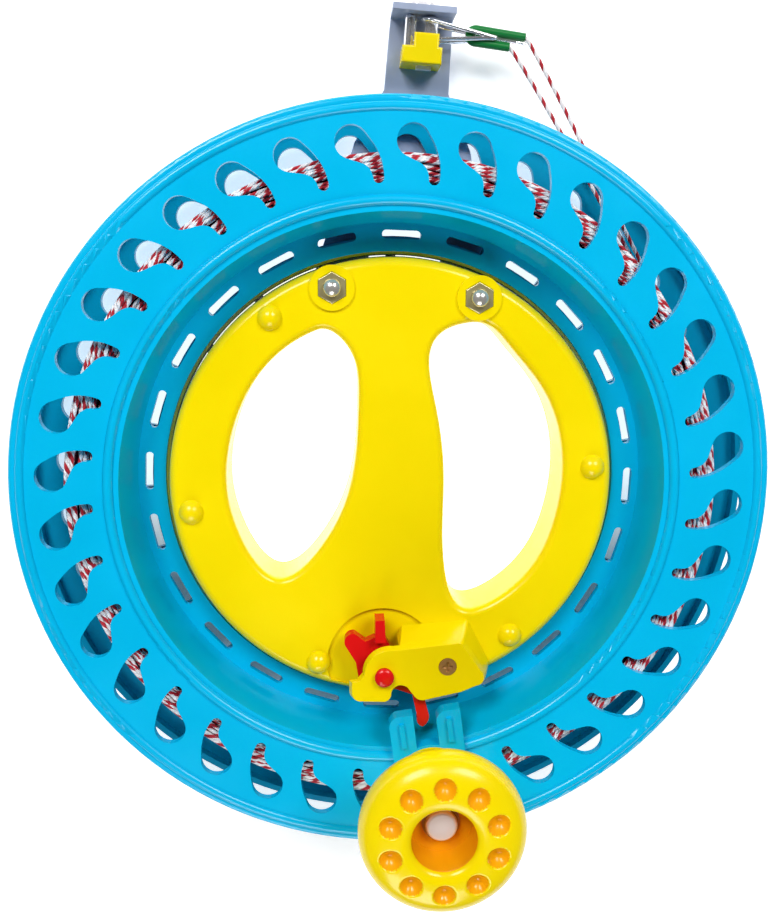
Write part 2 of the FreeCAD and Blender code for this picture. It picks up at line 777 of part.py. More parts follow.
def guide_bolts():
    """Two bolts through the guide plate and the grip, with domed ends that show in the nuts."""
    tip = grip_front_z + guide_boss_height + 1.4
    bolts = []
    for place in guide_bolt_places():
        shank = rod(guide_bolt_radius, place, guide_plate_back_z - 0.1, tip)
        end = Part.makeSphere(guide_bolt_radius * 1.25, V(place.x, place.y, tip - 1.2))
        end = end.common(rod(guide_bolt_radius, place, tip - 2, tip + 4))
        head = rod(guide_bolt_head_radius, place, guide_plate_back_z - guide_bolt_head_height, guide_plate_back_z)
        rims = [edge for edge in head.Edges if abs(edge.CenterOfMass.z - head.BoundBox.ZMin) < 0.01]
        bolts.append(shank.fuse([end, head.makeChamfer(0.7, rims)]))
    return Part.makeCompound(bolts)


def guide_nuts():
    """Hexagon nuts, sunk in the bosses of the grip's face."""
    top = grip_front_z + guide_boss_height
    nuts = []
    for place in guide_bolt_places():
        body = hexagon(guide_nut_flats, place, top - guide_nut_height, top + 0.2)
        cone = Part.makeCone(guide_nut_flats, 3.6, 3.0, V(place.x, place.y, top - guide_nut_height + 0.5))
        low = rod(guide_nut_flats, place, top - guide_nut_height, top - guide_nut_height + 0.6)
        body = body.common(cone.fuse(low)).cut(rod(guide_bolt_radius, place, top - 5, top + 2))
        nuts.append(body)
    return Part.makeCompound(nuts)


# Lock

def pawl_tip():
    """The pawl's tip at rest, between the ears of the crank's bracket."""
    return V(pawl_tip_x, -math.sqrt(pawl_tip_radius ** 2 - pawl_tip_x ** 2), 0)


def lock_place(across, up):
    """A point in the plane, measured from the lever's pivot."""
    return V(lock_pivot_x + across, lock_pivot_y + up, 0)


def lock_lever():
    """Red lever: thumb lobe and raised tab on one side of its pivot, the pawl on the other."""
    back = lock_plate_back_z
    front = back + lock_plate_thickness
    thumb = outline([lock_place(-2.2, -3.4), lock_place(3.8, -1.0), lock_place(1.9, 7.7), lock_place(0.4, 10.4),
                     lock_place(-2.6, 10.2), lock_place(-5.4, 8.9), lock_place(-8.6, 11.4),
                     (lock_place(-11.0, 10.6), lock_place(-11.4, 7.6)), lock_place(-8.3, 2.4),
                     lock_place(-7.5, -2.7), lock_place(-6.0, -2.4), lock_place(-5.2, -0.4)])
    body = plate(thumb, back, front)
    tab = outline([lock_place(-2.6, 9.4), lock_place(0.6, 9.4), lock_place(0.3, 16.4), lock_place(-2.5, 16.4)])
    body = body.fuse(plate(tab, back, thumb_tab_top_z))
    tip = pawl_tip()
    side = V(0, 0, 1).cross(V(0.06, -1, 0)).normalize()
    knee = V(pawl_tip_x - 1.0, lock_pivot_y - 7.0, 0)
    arm = outline([lock_place(1.0, 3.6), lock_place(-1.0, -3.6), knee - side * 2.2,
                   tip - side * pawl_half_width + V(0, 3.2, 0),
                   (tip - side * 0.9 + V(0, 0.5, 0), tip),
                   (tip + side * 0.9 + V(0, 0.6, 0), tip + side * pawl_half_width + V(0, 4.6, 0)),
                   knee + side * 0.8 + V(0, 1.2, 0)])
    body = body.fuse(plate(arm, pawl_back_z, pawl_back_z + pawl_thickness))
    stub = rod(4.4, lock_place(0, 0), grip_front_z - recess_depth + body_gap, front + 1.0)
    pin = rod(lock_pin_radius, lock_place(0, 0), grip_front_z - 5.5, cover_front_z + 0.4)
    return body.fuse([stub, pin]).removeSplitter()


def cover_wire(grow=0.0):
    """Outline of the lock cover's face: left lobe, round notch above the pawl, slanting right end."""
    return outline([
        lock_place(-9.6 - grow, -1.8), lock_place(-9.6 - grow, -5.0),
        (lock_place(-8.9 - grow, -7.0), lock_place(-6.8, -7.8)),
        lock_place(-0.2, -8.1), (lock_place(1.4, -7.4), lock_place(2.1, -6.0)),
        (lock_place(4.4, -3.0), lock_place(7.2, -4.0)),
        lock_place(8.9, -6.4), (lock_place(10.4, -7.6), lock_place(12.3, -7.7)), lock_place(23.0, -5.4),
        lock_place(27.6 + grow, -3.5), (lock_place(29.6 + grow, -2.2), lock_place(29.4 + grow, 0.4)),
        lock_place(23.6 + grow, 8.8 + grow),
        (lock_place(22.9 + grow, 9.7 + grow), lock_place(21.6 + grow, 9.8 + grow)),
        lock_place(2.8 - 0.4 * grow, 7.9 + grow),
        (lock_place(-2.8 - 0.4 * grow, 6.3 + grow), lock_place(-5.9 - 0.6 * grow, 0.2 + 0.4 * grow)),
        lock_place(-7.2 - grow, -1.4)])


def lock_cover():
    """Yellow cover over the lever: bevelled block with a pocket that the lever turns in."""
    base = grip_front_z
    pivot = V(lock_pivot_x, lock_pivot_y, 0)
    lower = cover_wire(3.2)
    lower.translate(V(0, 0, base))
    middle = cover_wire(0.9)
    middle.translate(V(0, 0, cover_front_z - 2.4))
    upper = cover_wire()
    upper.translate(V(0, 0, cover_front_z))
    body = Part.makeLoft([lower, middle], True, True).fuse(Part.makeLoft([middle, upper], True, True))
    roof_back = cover_front_z - cover_roof
    depth = roof_back - base + 1
    tip_reach = (pawl_tip() - pivot).Length
    start = math.degrees(math.atan2(pawl_tip().y - pivot.y, pawl_tip().x - pivot.x)) - pocket_start_lead
    sector = Part.makeCylinder(tip_reach + pocket_gap, depth, V(pivot.x, pivot.y, base - 1), AXIS_Z,
                               lever_sweep + pocket_start_lead + pocket_end_lead)
    sector.rotate(pivot, AXIS_Z, start)
    knee = Part.makeCylinder(knee_pocket_radius, depth, V(pivot.x, pivot.y, base - 1), AXIS_Z,
                             knee_pocket_end - start)
    knee.rotate(pivot, AXIS_Z, start)
    screw = V(cover_screw_x, cover_screw_y, 0)
    thumb = Part.makeCylinder(thumb_pocket_radius, depth, V(pivot.x, pivot.y, base - 1), AXIS_Z, 185)
    thumb.rotate(pivot, AXIS_Z, 62)
    hub = rod(9.4, pivot, base - 1, roof_back)
    pocket = sector.fuse([knee, thumb, hub]).cut(rod(cover_post_radius, screw, base - 2, cover_front_z))
    body = body.cut(pocket)
    holes = [rod(lock_pin_radius + running_gap, pivot, base, cover_front_z + 2),
             rod(cover_screw_radius + 0.2, screw, base - 1, cover_front_z + 1),
             rod(cover_screw_head_radius + seat_gap, screw, cover_front_z - 1.2, cover_front_z + 2)]
    return body.cut(Part.makeCompound(holes)).removeSplitter()


def lock_cover_screw():
    """Cross-head screw of the cover."""
    place = V(cover_screw_x, cover_screw_y, 0)
    top = cover_front_z + 0.2
    head = rod(cover_screw_head_radius, place, top - 1.4, top)
    cross = Part.makeBox(3.0, 0.8, 1.0, V(place.x - 1.5, place.y - 0.4, top - 0.8))
    other = Part.makeBox(0.8, 3.0, 1.0, V(place.x - 0.4, place.y - 1.5, top - 0.8))
    shank = rod(cover_screw_radius, place, grip_front_z - 6, top - 1.3)
    return head.fuse(shank).cut(cross.fuse(other))


# Crank

def crank_place(across, along, z=0.0):
    """A point in the crank's own frame: across it, and outwards along it."""
    turn = math.radians(crank_angle)
    outward = V(math.cos(turn), math.sin(turn), 0)
    sideways = V(-math.sin(turn), math.cos(turn), 0)
    return sideways * across + outward * along + V(0, 0, z)


def crank_box(left, right, low, high, z0, z1):
    """A box in the crank's own frame."""
    points = [crank_place(left, low), crank_place(right, low),
              crank_place(right, high), crank_place(left, high)]
    return plate(outline(points), z0, z1)


def ear(side):
    """One ear of the crank's bracket, with a rounded inner corner and a raised rib on its front."""
    inner = ear_half_slot if side > 0 else -ear_half_width
    outer = ear_half_width if side > 0 else -ear_half_slot
    body = crank_box(inner, outer, ear_inner_reach, ear_outer_reach, ear_back_z, ear_front_z)
    corner = crank_place(inner, ear_inner_reach)
    edges = [edge for edge in body.Edges if edge.BoundBox.ZLength > 1
             and (V(edge.CenterOfMass.x, edge.CenterOfMass.y, 0) - corner).Length < 0.1]
    body = body.makeFillet(ear_corner_round, edges)
    middle = (inner + outer) / 2
    rib = crank_box(middle - ear_rib_width / 2, middle + ear_rib_width / 2, ear_inner_reach + 2.2,
                    ear_rib_end, ear_front_z - 0.2, ear_front_z + ear_rib_height)
    return body.fuse(rib)


def crank_bracket():
    """Blue bracket on the front flange: two ears that reach into the hub, and the boss under the knob."""
    axis = crank_place(0, crank_reach)
    base = crank_box(-ear_half_width, ear_half_width, ear_outer_reach - 4.5, crank_reach,
                     spool_front_z - 1, crank_boss_top_z)
    boss = rod(crank_boss_radius, axis, spool_front_z - 1, crank_boss_top_z)
    body = boss.fuse([base, ear(-1), ear(1)]).removeSplitter()
    body = body.cut(front_half_blank())
    body = max(body.Solids, key=lambda solid: solid.Volume)
    return body.cut(rod(knob_bolt_radius + running_gap, axis, spool_front_z - 3, crank_boss_top_z + 2))


def knob():
    """Mushroom knob with ten blind dimples round a deep middle hole."""
    foot = knob_foot_z
    neck_z = foot + knob_neck_height
    face = knob_face_z
    body = turned([
        (knob_bore_radius, foot), (knob_foot_radius, foot),
        ((knob_neck_radius + 0.5, foot + 3.6), (knob_neck_radius, neck_z)),
        ((knob_neck_radius + 3.6, neck_z + 8.4), (knob_radius - 2.6, knob_equator_z - 4.2)),
        ((knob_radius - 0.2, knob_equator_z - 1.8), (knob_radius, knob_equator_z + 0.6)),
        ((knob_radius - 1.2, knob_equator_z + 5.0), (knob_face_radius, face)),
        (knob_hole_radius + 0.6, face),
        ((knob_hole_radius + 0.15, face - 0.2), (knob_hole_radius, face - 0.7)),
        (knob_hole_radius, knob_hole_floor_z), (knob_bore_radius, knob_hole_floor_z)])
    dimple = Part.makeCone(dimple_radius - 0.35, dimple_radius, dimple_depth + 1,
                           V(dimple_circle, 0, face - dimple_depth))
    cutters = [turn_about_axis(dimple, 360.0 * k / dimple_count + 90) for k in range(dimple_count)]
    body = body.cut(Part.makeCompound(cutters))
    body.translate(crank_place(0, crank_reach))
    return body


def knob_bolt():
    """The knob's axle: a bolt with a smooth low-domed head, deep in the knob."""
    axis = crank_place(0, crank_reach)
    seat = knob_hole_floor_z + knob_washer_thickness + seat_gap
    head = rod(knob_bolt_head_radius, axis, seat, seat + knob_bolt_head_height)
    rim = [edge for edge in head.Edges if abs(edge.CenterOfMass.z - head.BoundBox.ZMax) < 0.01]
    head = head.makeFillet(1.0, rim)
    low = inner_front_z - knob_nut_height - 0.8
    return head.fuse(rod(knob_bolt_radius, axis, low, seat + 0.1)).removeSplitter()


def knob_washer():
    """Flat washer between the bolt's head and the knob."""
    axis = crank_place(0, crank_reach)
    low = knob_hole_floor_z + seat_gap
    body = rod(knob_washer_radius, axis, low, low + knob_washer_thickness)
    return body.cut(rod(knob_bolt_radius, axis, low - 1, low + 2))


def knob_nut():
    """Nut of the knob's bolt, under the front flange."""
    axis = crank_place(0, crank_reach)
    body = hexagon(knob_nut_flats, ORIGIN, inner_front_z - knob_nut_height, inner_front_z)
    body.rotate(ORIGIN, AXIS_Z, crank_angle)
    body.translate(axis)
    return body.cut(rod(knob_bolt_radius, axis, inner_front_z - knob_nut_height - 1, inner_front_z + 1))


# Line

def line_core():
    """The line's inner layers, as one plain ring on the drum."""
    radius = pack_radius - line_diameter - seat_gap
    body = tube(radius, drum_outer_radius, inner_back_z + seat_gap, inner_front_z - seat_gap)
    axis = crank_place(0, crank_reach)
    nut_space = rod(knob_nut_flats * 0.7, axis, inner_front_z - knob_nut_height - 1.4, inner_front_z + 1)
    return body.cut(nut_space)


def biarc(start, start_way, end, end_way):
    """Two tangent arcs from one point and direction to another."""
    chord = end - start
    ways = start_way + end_way
    spread = 2 * (1 - start_way.dot(end_way))
    lean = chord.dot(ways)
    reach = (-lean + math.sqrt(lean ** 2 + spread * chord.dot(chord))) / spread
    first = start + start_way * reach
    last = end - end_way * reach
    middle = (first + last) * 0.5
    return [tangent_arc(start, first, middle), tangent_arc(middle, last, end)]


def tangent_arc(start, corner, end):
    """The arc that touches both legs of a corner at equal distances."""
    half = (start + end) * 0.5
    rise = corner - half
    half_chord = (start - half).Length
    turn = math.atan2(rise.Length, half_chord)
    crown = half + rise.normalize() * (half_chord * math.tan(turn / 2))
    return Part.Arc(start, crown, end).toShape()


def helix_point(radius, pitch, angle, start_z, start_angle):
    """A point of the winding and the direction of the line there."""
    turn = math.radians(start_angle + angle)
    place = V(radius * math.cos(turn), radius * math.sin(turn), start_z + pitch * angle / 360)
    way = V(-math.sin(turn) * radius, math.cos(turn) * radius, pitch / (2 * math.pi))
    return place, way.normalize()


def swept(edges, diameter):
    """A round tube along a path."""
    path = Part.Wire(edges)
    start = edges[0].valueAt(edges[0].FirstParameter)
    way = edges[0].tangentAt(edges[0].FirstParameter)
    ring = Part.Wire(Part.Circle(start, way, diameter / 2).toShape())
    pipe = path.makePipeShell([ring], True, False)
    print("  tube volume", round(pipe.Volume, 2), "section times length",
          round(math.pi * diameter ** 2 / 4 * path.Length, 2))
    return pipe


def line_winding():
    """The outer layer of the line, wound side by side over the core as one unbroken tube."""
    radius = pack_radius - line_diameter / 2
    pitch = line_diameter + winding_gap
    start_z = (inner_back_z + inner_front_z) / 2 - pitch * (winding_loops - 1) / 2 - pitch / 2
    first_angle = 40.0
    steps = 4 * winding_loops
    stations = [helix_point(radius, pitch, 90.0 * k, start_z, first_angle) for k in range(steps + 1)]
    place, way = stations[0]
    edges = [Part.LineSegment(place - way * line_diameter, place).toShape()]
    for (here, here_way), (there, there_way) in zip(stations, stations[1:]):
        edges += biarc(here, here_way, there, there_way)
    place, way = stations[-1]
    edges.append(Part.LineSegment(place, place + way * line_diameter).toShape())
    fine = [helix_point(radius, pitch, 10.0 * k, start_z, first_angle)[0] for k in range(36 * winding_loops)]
    nearest = min((fine[k] - fine[k + 36 + shift]).Length
                  for k in range(len(fine) - 38) for shift in (-1, 0, 1))
    print("  winding least gap", round(nearest - line_diameter, 3))
    return swept(edges, line_diameter)


def sleeve_place(along, up, z):
    """A point in the sleeve's own frame: along it from the clip's meeting point, and up across it."""
    turn = math.radians(sleeve_slope)
    way = V(math.cos(turn), math.sin(turn), 0)
    across = V(-math.sin(turn), math.cos(turn), 0)
    meeting = guide_place(clip_meeting_across, block_step_reach + clip_meeting_lift, z)
    return meeting + way * along + across * up


def line_lead(mouth, level):
    """One taut strand: out of the sleeve, straight to the winding, and a short way round it."""
    radius = pack_radius + line_diameter / 2 + body_gap + running_gap
    way = sleeve_place(1, 0, 0) - sleeve_place(0, 0, 0)
    corner = mouth + way * lead_stub
    flat = V(corner.x, corner.y, 0)
    angle = math.degrees(math.atan2(flat.y, flat.x) - math.acos(radius / flat.Length))
    touch = polar(radius, angle, level)
    run = (touch - corner).normalize()
    centre = V(0, 0, level)
    stops = [math.radians(lead_wrap_angle) * share for share in (0.5, 1)]
    middle, end = [centre + polar(radius, angle) * math.cos(stop) + run * (radius * math.sin(stop))
                   for stop in stops]
    trim = lead_bend_radius * math.tan(way.getAngle(run) / 2)
    bend = tangent_arc(corner - way * trim, corner, corner + run * trim)
    straight = round((touch - corner).Length, 1)
    print("  lead radii", lead_bend_radius, round(radius, 2), "straight run", straight)
    return swept([Part.LineSegment(mouth, corner - way * trim).toShape(), bend,
                  Part.LineSegment(corner + run * trim, touch).toShape(),
                  Part.Arc(touch, middle, end).toShape()], line_diameter)


# Snap clip

def clip_sleeve():
    """Green plastic sleeve that is bent double, with the line's loop inside it."""
    up = sleeve_half_height
    left = -sleeve_left_arm
    return swept([
        Part.LineSegment(sleeve_place(sleeve_upper_arm, up, roller_z),
                         sleeve_place(left, up, roller_z)).toShape(),
        Part.Arc(sleeve_place(left, up, roller_z), sleeve_place(left - up, 0, roller_z),
                 sleeve_place(left, -up, roller_z)).toShape(),
        Part.LineSegment(sleeve_place(left, -up, roller_z),
                         sleeve_place(sleeve_lower_arm, -up, roller_z)).toShape()], sleeve_diameter)


def clip_hairpin(lift):
    """One wire hairpin of the clip: round the right roller and back to the meeting point."""
    radius = right_roller_radius + clip_wire_diameter / 2 + body_gap + running_gap
    centre = guide_place(right_roller_offset, block_step_reach + lift, roller_z)
    meeting = sleeve_place(0, 0, roller_z)
    flat_run = meeting - centre
    length = flat_run.Length
    way = flat_run.normalize()
    touches = []
    meetings = []
    for side in (1, -1):
        rise = side * clip_meeting_half_depth
        angle = math.atan2(rise, length) + side * math.acos(radius / math.hypot(length, rise))
        touches.append(centre + way * (radius * math.cos(angle)) + V(0, 0, radius * math.sin(angle)))
        meetings.append(meeting + V(0, 0, rise))
    return swept([Part.LineSegment(meetings[0], touches[0]).toShape(),
                  Part.Arc(touches[0], centre - way * radius, touches[1]).toShape(),
                  Part.LineSegment(touches[1], meetings[1]).toShape()], clip_wire_diameter)


def snap_clip():
    """Chrome wire clip: two hairpins round the right roller, joined in the sleeve's middle, and its spine."""
    radius = clip_wire_diameter / 2
    half = clip_meeting_half_depth
    link = Part.makeCylinder(radius, 2 * half, sleeve_place(0, 0, roller_z - half))
    caps = [Part.makeSphere(radius * 1.15, sleeve_place(0, 0, roller_z + side * half)) for side in (-1, 1)]
    spine = Part.makeCylinder(radius, spine_length, sleeve_place(0, 0, roller_z),
                              sleeve_place(1, 0, 0) - sleeve_place(0, 0, 0))
    hairpins = [clip_hairpin(lift) for lift in hairpin_lifts]
    return link.fuse([spine] + caps + hairpins).removeSplitter()


def main():
    os.makedirs("parts", exist_ok=True)
    axis = crank_place(0, crank_reach)
    bolt_hole = rod(knob_bolt_radius + seat_gap, axis, inner_front_z - 1, spool_front_z + 3)
    pocket = plate(guide_plate_wire(body_gap), -1, guide_plate_front_z)
    save("spool_front", spool_front(bolt_hole))
    save("spool_back", spool_back())
    save("spool_screws", spool_screws())
    save("bearing_outer_race", bearing_outer_race())
    save("bearing_inner_race", bearing_inner_race())
    save("bearing_balls", bearing_balls())
    save("bearing_cage", bearing_cage())
    save("grip_front", grip_front())
    save("grip_back", grip_back(pocket))
    save("grip_screws", grip_screws())
    save("guide_bracket", guide_bracket())
    save("guide_roller_left", guide_roller(left_roller_offset, left_roller_radius))
    save("guide_roller_right", guide_roller(right_roller_offset, right_roller_radius))
    save("guide_pins", guide_pins())
    save("guide_block", guide_block())
    save("guide_bolts", guide_bolts())
    save("guide_nuts", guide_nuts())
    save("lock_lever", lock_lever())
    save("lock_cover", lock_cover())
    save("lock_cover_screw", lock_cover_screw())
    save("crank_bracket", crank_bracket())
    save("knob", knob())
    save("knob_bolt", knob_bolt())
    save("knob_washer", knob_washer())
    save("knob_nut", knob_nut())
    save("line_core", line_core())
    save("line_winding", line_winding())
    lower_mouth = sleeve_place(sleeve_lower_arm + seat_gap, -sleeve_half_height, roller_z)
    upper_mouth = sleeve_place(sleeve_upper_arm + seat_gap, sleeve_half_height, roller_z)
    save("line_lead_a", line_lead(lower_mouth, lead_a_z))
    save("line_lead_b", line_lead(upper_mouth, lead_b_z))
    save("clip_sleeve", clip_sleeve())
    save("snap_clip", snap_clip())


main()
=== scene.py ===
"""Kite line winder, dressed for the picture: the pieces are modelled and finished over the part's frame."""
import math

import bmesh
import bpy
from bpy.props import FloatProperty, FloatVectorProperty, IntProperty, PointerProperty
from mathutils import Matrix, Vector, noise


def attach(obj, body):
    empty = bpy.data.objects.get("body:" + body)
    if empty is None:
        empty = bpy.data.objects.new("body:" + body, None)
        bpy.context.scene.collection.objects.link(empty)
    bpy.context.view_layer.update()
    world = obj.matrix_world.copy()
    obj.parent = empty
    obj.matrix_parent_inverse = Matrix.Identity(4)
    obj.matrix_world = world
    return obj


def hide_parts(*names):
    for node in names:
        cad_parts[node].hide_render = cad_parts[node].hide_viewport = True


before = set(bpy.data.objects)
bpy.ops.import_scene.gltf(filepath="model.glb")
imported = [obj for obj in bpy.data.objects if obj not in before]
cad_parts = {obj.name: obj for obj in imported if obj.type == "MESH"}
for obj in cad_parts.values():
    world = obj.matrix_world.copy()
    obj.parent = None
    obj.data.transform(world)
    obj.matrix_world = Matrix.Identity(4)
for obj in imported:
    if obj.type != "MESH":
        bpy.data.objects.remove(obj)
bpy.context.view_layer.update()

bl_info = {
    "name": "Kite line winder",
    "version": (1, 0, 0),
    "blender": (4, 5, 0),
    "location": "3D View > Sidebar > Winder",
    "description": "Builds a hand-held kite line winder piece by piece over its frame",
    "category": "Add Mesh",
}

MM = 0.001
CRANK_AXIS = Vector((11.5916, -89.2504, 0)) * MM
LOCK_PIVOT = Vector((-3.0, -56.2, 0)) * MM
PIVOT_DOME_RADIUS = 2.9 * MM


# The polished shield over the balls, as (radius, height) in millimetres
SHIELD_PROFILE = ((68.7, 13.15), (67.1, 12.45), (67.1, 12.2), (68.7, 12.7))

# The camera, as fitted to the picture
CAMERA_PLACE = Vector((-17.5, 63.2, 333.7)) * MM
CAMERA_AHEAD = Vector((0.0484, -0.1766, -0.9831)).normalized()
CAMERA_LENS = 49.69
CAMERA_SENSOR = 36.0

# Soft lamps: name, place in metres, size and power
SOFTBOXES = (
    ("softbox_left", (-0.5, 0.85, 1.0), 0.55, 13.0),
    ("softbox_right", (0.6, 0.75, 1.0), 0.5, 10.0),
    ("softbox_near", (-0.1, -1.1, 0.75), 0.7, 9.0),
)


# Colours and materials

def linear(code):
    """The linear colour of an sRGB hex value."""
    parts = [int(code[k:k + 2], 16) / 255 for k in (1, 3, 5)]
    return [c / 12.92 if c <= 0.04045 else ((c + 0.055) / 1.055) ** 2.4 for c in parts] + [1.0]


def colour_setting(name, text, code):
    """A colour that a user would change."""
    return FloatVectorProperty(name=name, description=text, subtype="COLOR", size=4, min=0, max=1,
                               default=linear(code))


def length_setting(name, text, millimetres):
    """A length that a user would change, in metres."""
    return FloatProperty(name=name, description=text, subtype="DISTANCE", unit="LENGTH", precision=5,
                         default=millimetres * MM)


def add_node(tree, kind, links=(), **settings):
    """A node with its settings; links are (input, node or (node, output)) pairs."""
    node = tree.nodes.new(kind)
    for key, value in settings.items():
        if hasattr(node, key):
            setattr(node, key, value)
    for key, value in links:
        socket = node.inputs[key]
        if isinstance(value, bpy.types.Node):
            tree.links.new(value.outputs[0], socket)
        elif isinstance(value, tuple) and value and isinstance(value[0], bpy.types.Node):
            tree.links.new(value[0].outputs[value[1]], socket)
        else:
            socket.default_value = value
    return node


def new_material(name):
    """An empty node material and its surface shader."""
    made = bpy.data.materials.new(name)
    made.use_nodes = True
    tree = made.node_tree
    return made, tree, tree.nodes["Principled BSDF"]


def set_shader(shader, **values):
    """Sets single values on the shader's own sockets."""
    for key, value in values.items():
        shader.inputs[key.replace("_", " ")].default_value = value


def moulded_abs(name, colour, roughness=0.2, mottle=0.03):
    """Injection-moulded ABS: an even colour with a faint swirl and a soft, slightly wavy gloss."""
    made, tree, shader = new_material(name)
    place = add_node(tree, "ShaderNodeTexCoord")
    # Flow marks from filling the mould, 20 to 40 mm apart
    flow = add_node(tree, "ShaderNodeTexNoise", [("Vector", (place, "Object")), ("Scale", 38.0),
                                                 ("Detail", 3.0)])
    dark = [c * (1 - 2 * mottle) for c in colour[:3]] + [1.0]
    ramp = add_node(tree, "ShaderNodeValToRGB", [("Fac", flow)])
    ramp.color_ramp.elements[0].position = 0.3
    ramp.color_ramp.elements[0].color = dark
    ramp.color_ramp.elements[1].position = 0.7
    ramp.color_ramp.elements[1].color = colour
    tree.links.new(ramp.outputs[0], shader.inputs["Base Color"])
    # Satin gloss that varies over the surface as a polished mould leaves it
    gloss = add_node(tree, "ShaderNodeMapRange", [("Value", flow), ("From Min", 0.3), ("From Max", 0.7),
                                                  ("To Min", roughness - 0.05), ("To Max", roughness + 0.06)])
    tree.links.new(gloss.outputs[0], shader.inputs["Roughness"])
    # Spark-eroded grain of about 0.7 mm, coarser than a real mould's so that it shows
    grain = add_node(tree, "ShaderNodeTexNoise", [("Vector", (place, "Object")), ("Scale", 1400.0)])
    bump = add_node(tree, "ShaderNodeBump", [("Height", grain), ("Strength", 0.05), ("Distance", 0.0002)])
    tree.links.new(bump.outputs[0], shader.inputs["Normal"])
    set_shader(shader, IOR=1.5, Specular_IOR_Level=0.36, Subsurface_Weight=0.06, Subsurface_Scale=0.002)
    return made


def metal(name, colour, roughness, scratch=0.1, grain_scale=900.0, metallic=1.0):
    """A bare or plated metal with a fine finish; a dull plating scatters part of the light."""
    made, tree, shader = new_material(name)
    place = add_node(tree, "ShaderNodeTexCoord")
    grain = add_node(tree, "ShaderNodeTexNoise", [("Vector", (place, "Object")), ("Scale", grain_scale),
                                                  ("Detail", 4.0)])
    gloss = add_node(tree, "ShaderNodeMapRange", [("Value", grain), ("To Min", roughness * (1 - scratch)),
                                                  ("To Max", roughness * (1 + 2 * scratch))])
    tree.links.new(gloss.outputs[0], shader.inputs["Roughness"])
    bump = add_node(tree, "ShaderNodeBump", [("Height", grain), ("Strength", 0.04), ("Distance", 0.0001)])
    tree.links.new(bump.outputs[0], shader.inputs["Normal"])
    set_shader(shader, Base_Color=colour, Metallic=metallic)
    return made


def coated_steel(name, colour):
    """Sheet steel with a thin grey-blue coating: mostly paint, with the sheet's faint ripple."""
    made, tree, shader = new_material(name)
    place = add_node(tree, "ShaderNodeTexCoord")
    ripple = add_node(tree, "ShaderNodeTexNoise", [("Vector", (place, "Object")), ("Scale", 120.0),
                                                   ("Detail", 5.0)])
    ramp = add_node(tree, "ShaderNodeValToRGB", [("Fac", ripple)])
    ramp.color_ramp.elements[0].position = 0.32
    ramp.color_ramp.elements[0].color = [c * 0.85 for c in colour[:3]] + [1.0]
    ramp.color_ramp.elements[1].position = 0.68
    ramp.color_ramp.elements[1].color = colour
    tree.links.new(ramp.outputs[0], shader.inputs["Base Color"])
    bump = add_node(tree, "ShaderNodeBump", [("Height", ripple), ("Strength", 0.12), ("Distance", 0.0003)])
    tree.links.new(bump.outputs[0], shader.inputs["Normal"])
    set_shader(shader, Metallic=0.2, Roughness=0.35)
    return made


def twisted_line(name, white, red):
    """Twisted polyester line: white yarn with a red marker yarn, placed by the line's own map."""
    made, tree, shader = new_material(name)
    place = add_node(tree, "ShaderNodeUVMap", uv_map="line")
    parts = add_node(tree, "ShaderNodeSeparateXYZ", [("Vector", (place, "UV"))])
    # The map runs along the line in twists and round it in turns
    turn = add_node(tree, "ShaderNodeMath", [(0, (parts, "X")), (1, (parts, "Y"))], operation="SUBTRACT")
    phase = add_node(tree, "ShaderNodeMath", [(0, turn)], operation="FRACT")
    marker = add_node(tree, "ShaderNodeValToRGB", [("Fac", phase)])
    marker.color_ramp.interpolation = "EASE"
    marker.color_ramp.elements[0].position = 0.0
    marker.color_ramp.elements[0].color = white
    marker.color_ramp.elements[1].position = 1.0
    marker.color_ramp.elements[1].color = white
    for spot, colour in ((0.44, white), (0.5, red), (0.88, red), (0.94, white)):
        marker.color_ramp.elements.new(spot).color = colour
    tree.links.new(marker.outputs[0], shader.inputs["Base Color"])
    # Three strands to a twist
    strands = add_node(tree, "ShaderNodeMath", [(0, turn), (1, 3 * 2 * math.pi)], operation="MULTIPLY")
    height = add_node(tree, "ShaderNodeMath", [(0, strands)], operation="SINE")
    bump = add_node(tree, "ShaderNodeBump", [("Height", height), ("Strength", 0.6), ("Distance", 0.0002)])
    tree.links.new(bump.outputs[0], shader.inputs["Normal"])
    set_shader(shader, Roughness=0.75, Sheen_Weight=0.3, Sheen_Roughness=0.4)
    return made


def painted_shade_yarn(name, colour):
    """Yarn in painted shade, deep in the pack between the outer turns: navy grading into a dark red."""
    made, tree, shader = new_material(name)
    place = add_node(tree, "ShaderNodeTexCoord")
    fibre = add_node(tree, "ShaderNodeTexNoise", [("Vector", (place, "Object")), ("Scale", 700.0),
                                                  ("Detail", 3.0)])
    ramp = add_node(tree, "ShaderNodeValToRGB", [("Fac", fibre)])
    ramp.color_ramp.elements[0].position = 0.4
    ramp.color_ramp.elements[0].color = colour
    ramp.color_ramp.elements[1].position = 0.75
    ramp.color_ramp.elements[1].color = linear("#7A1830")
    tree.links.new(ramp.outputs[0], shader.inputs["Base Color"])
    set_shader(shader, Roughness=0.9, Specular_IOR_Level=0.1)
    return made


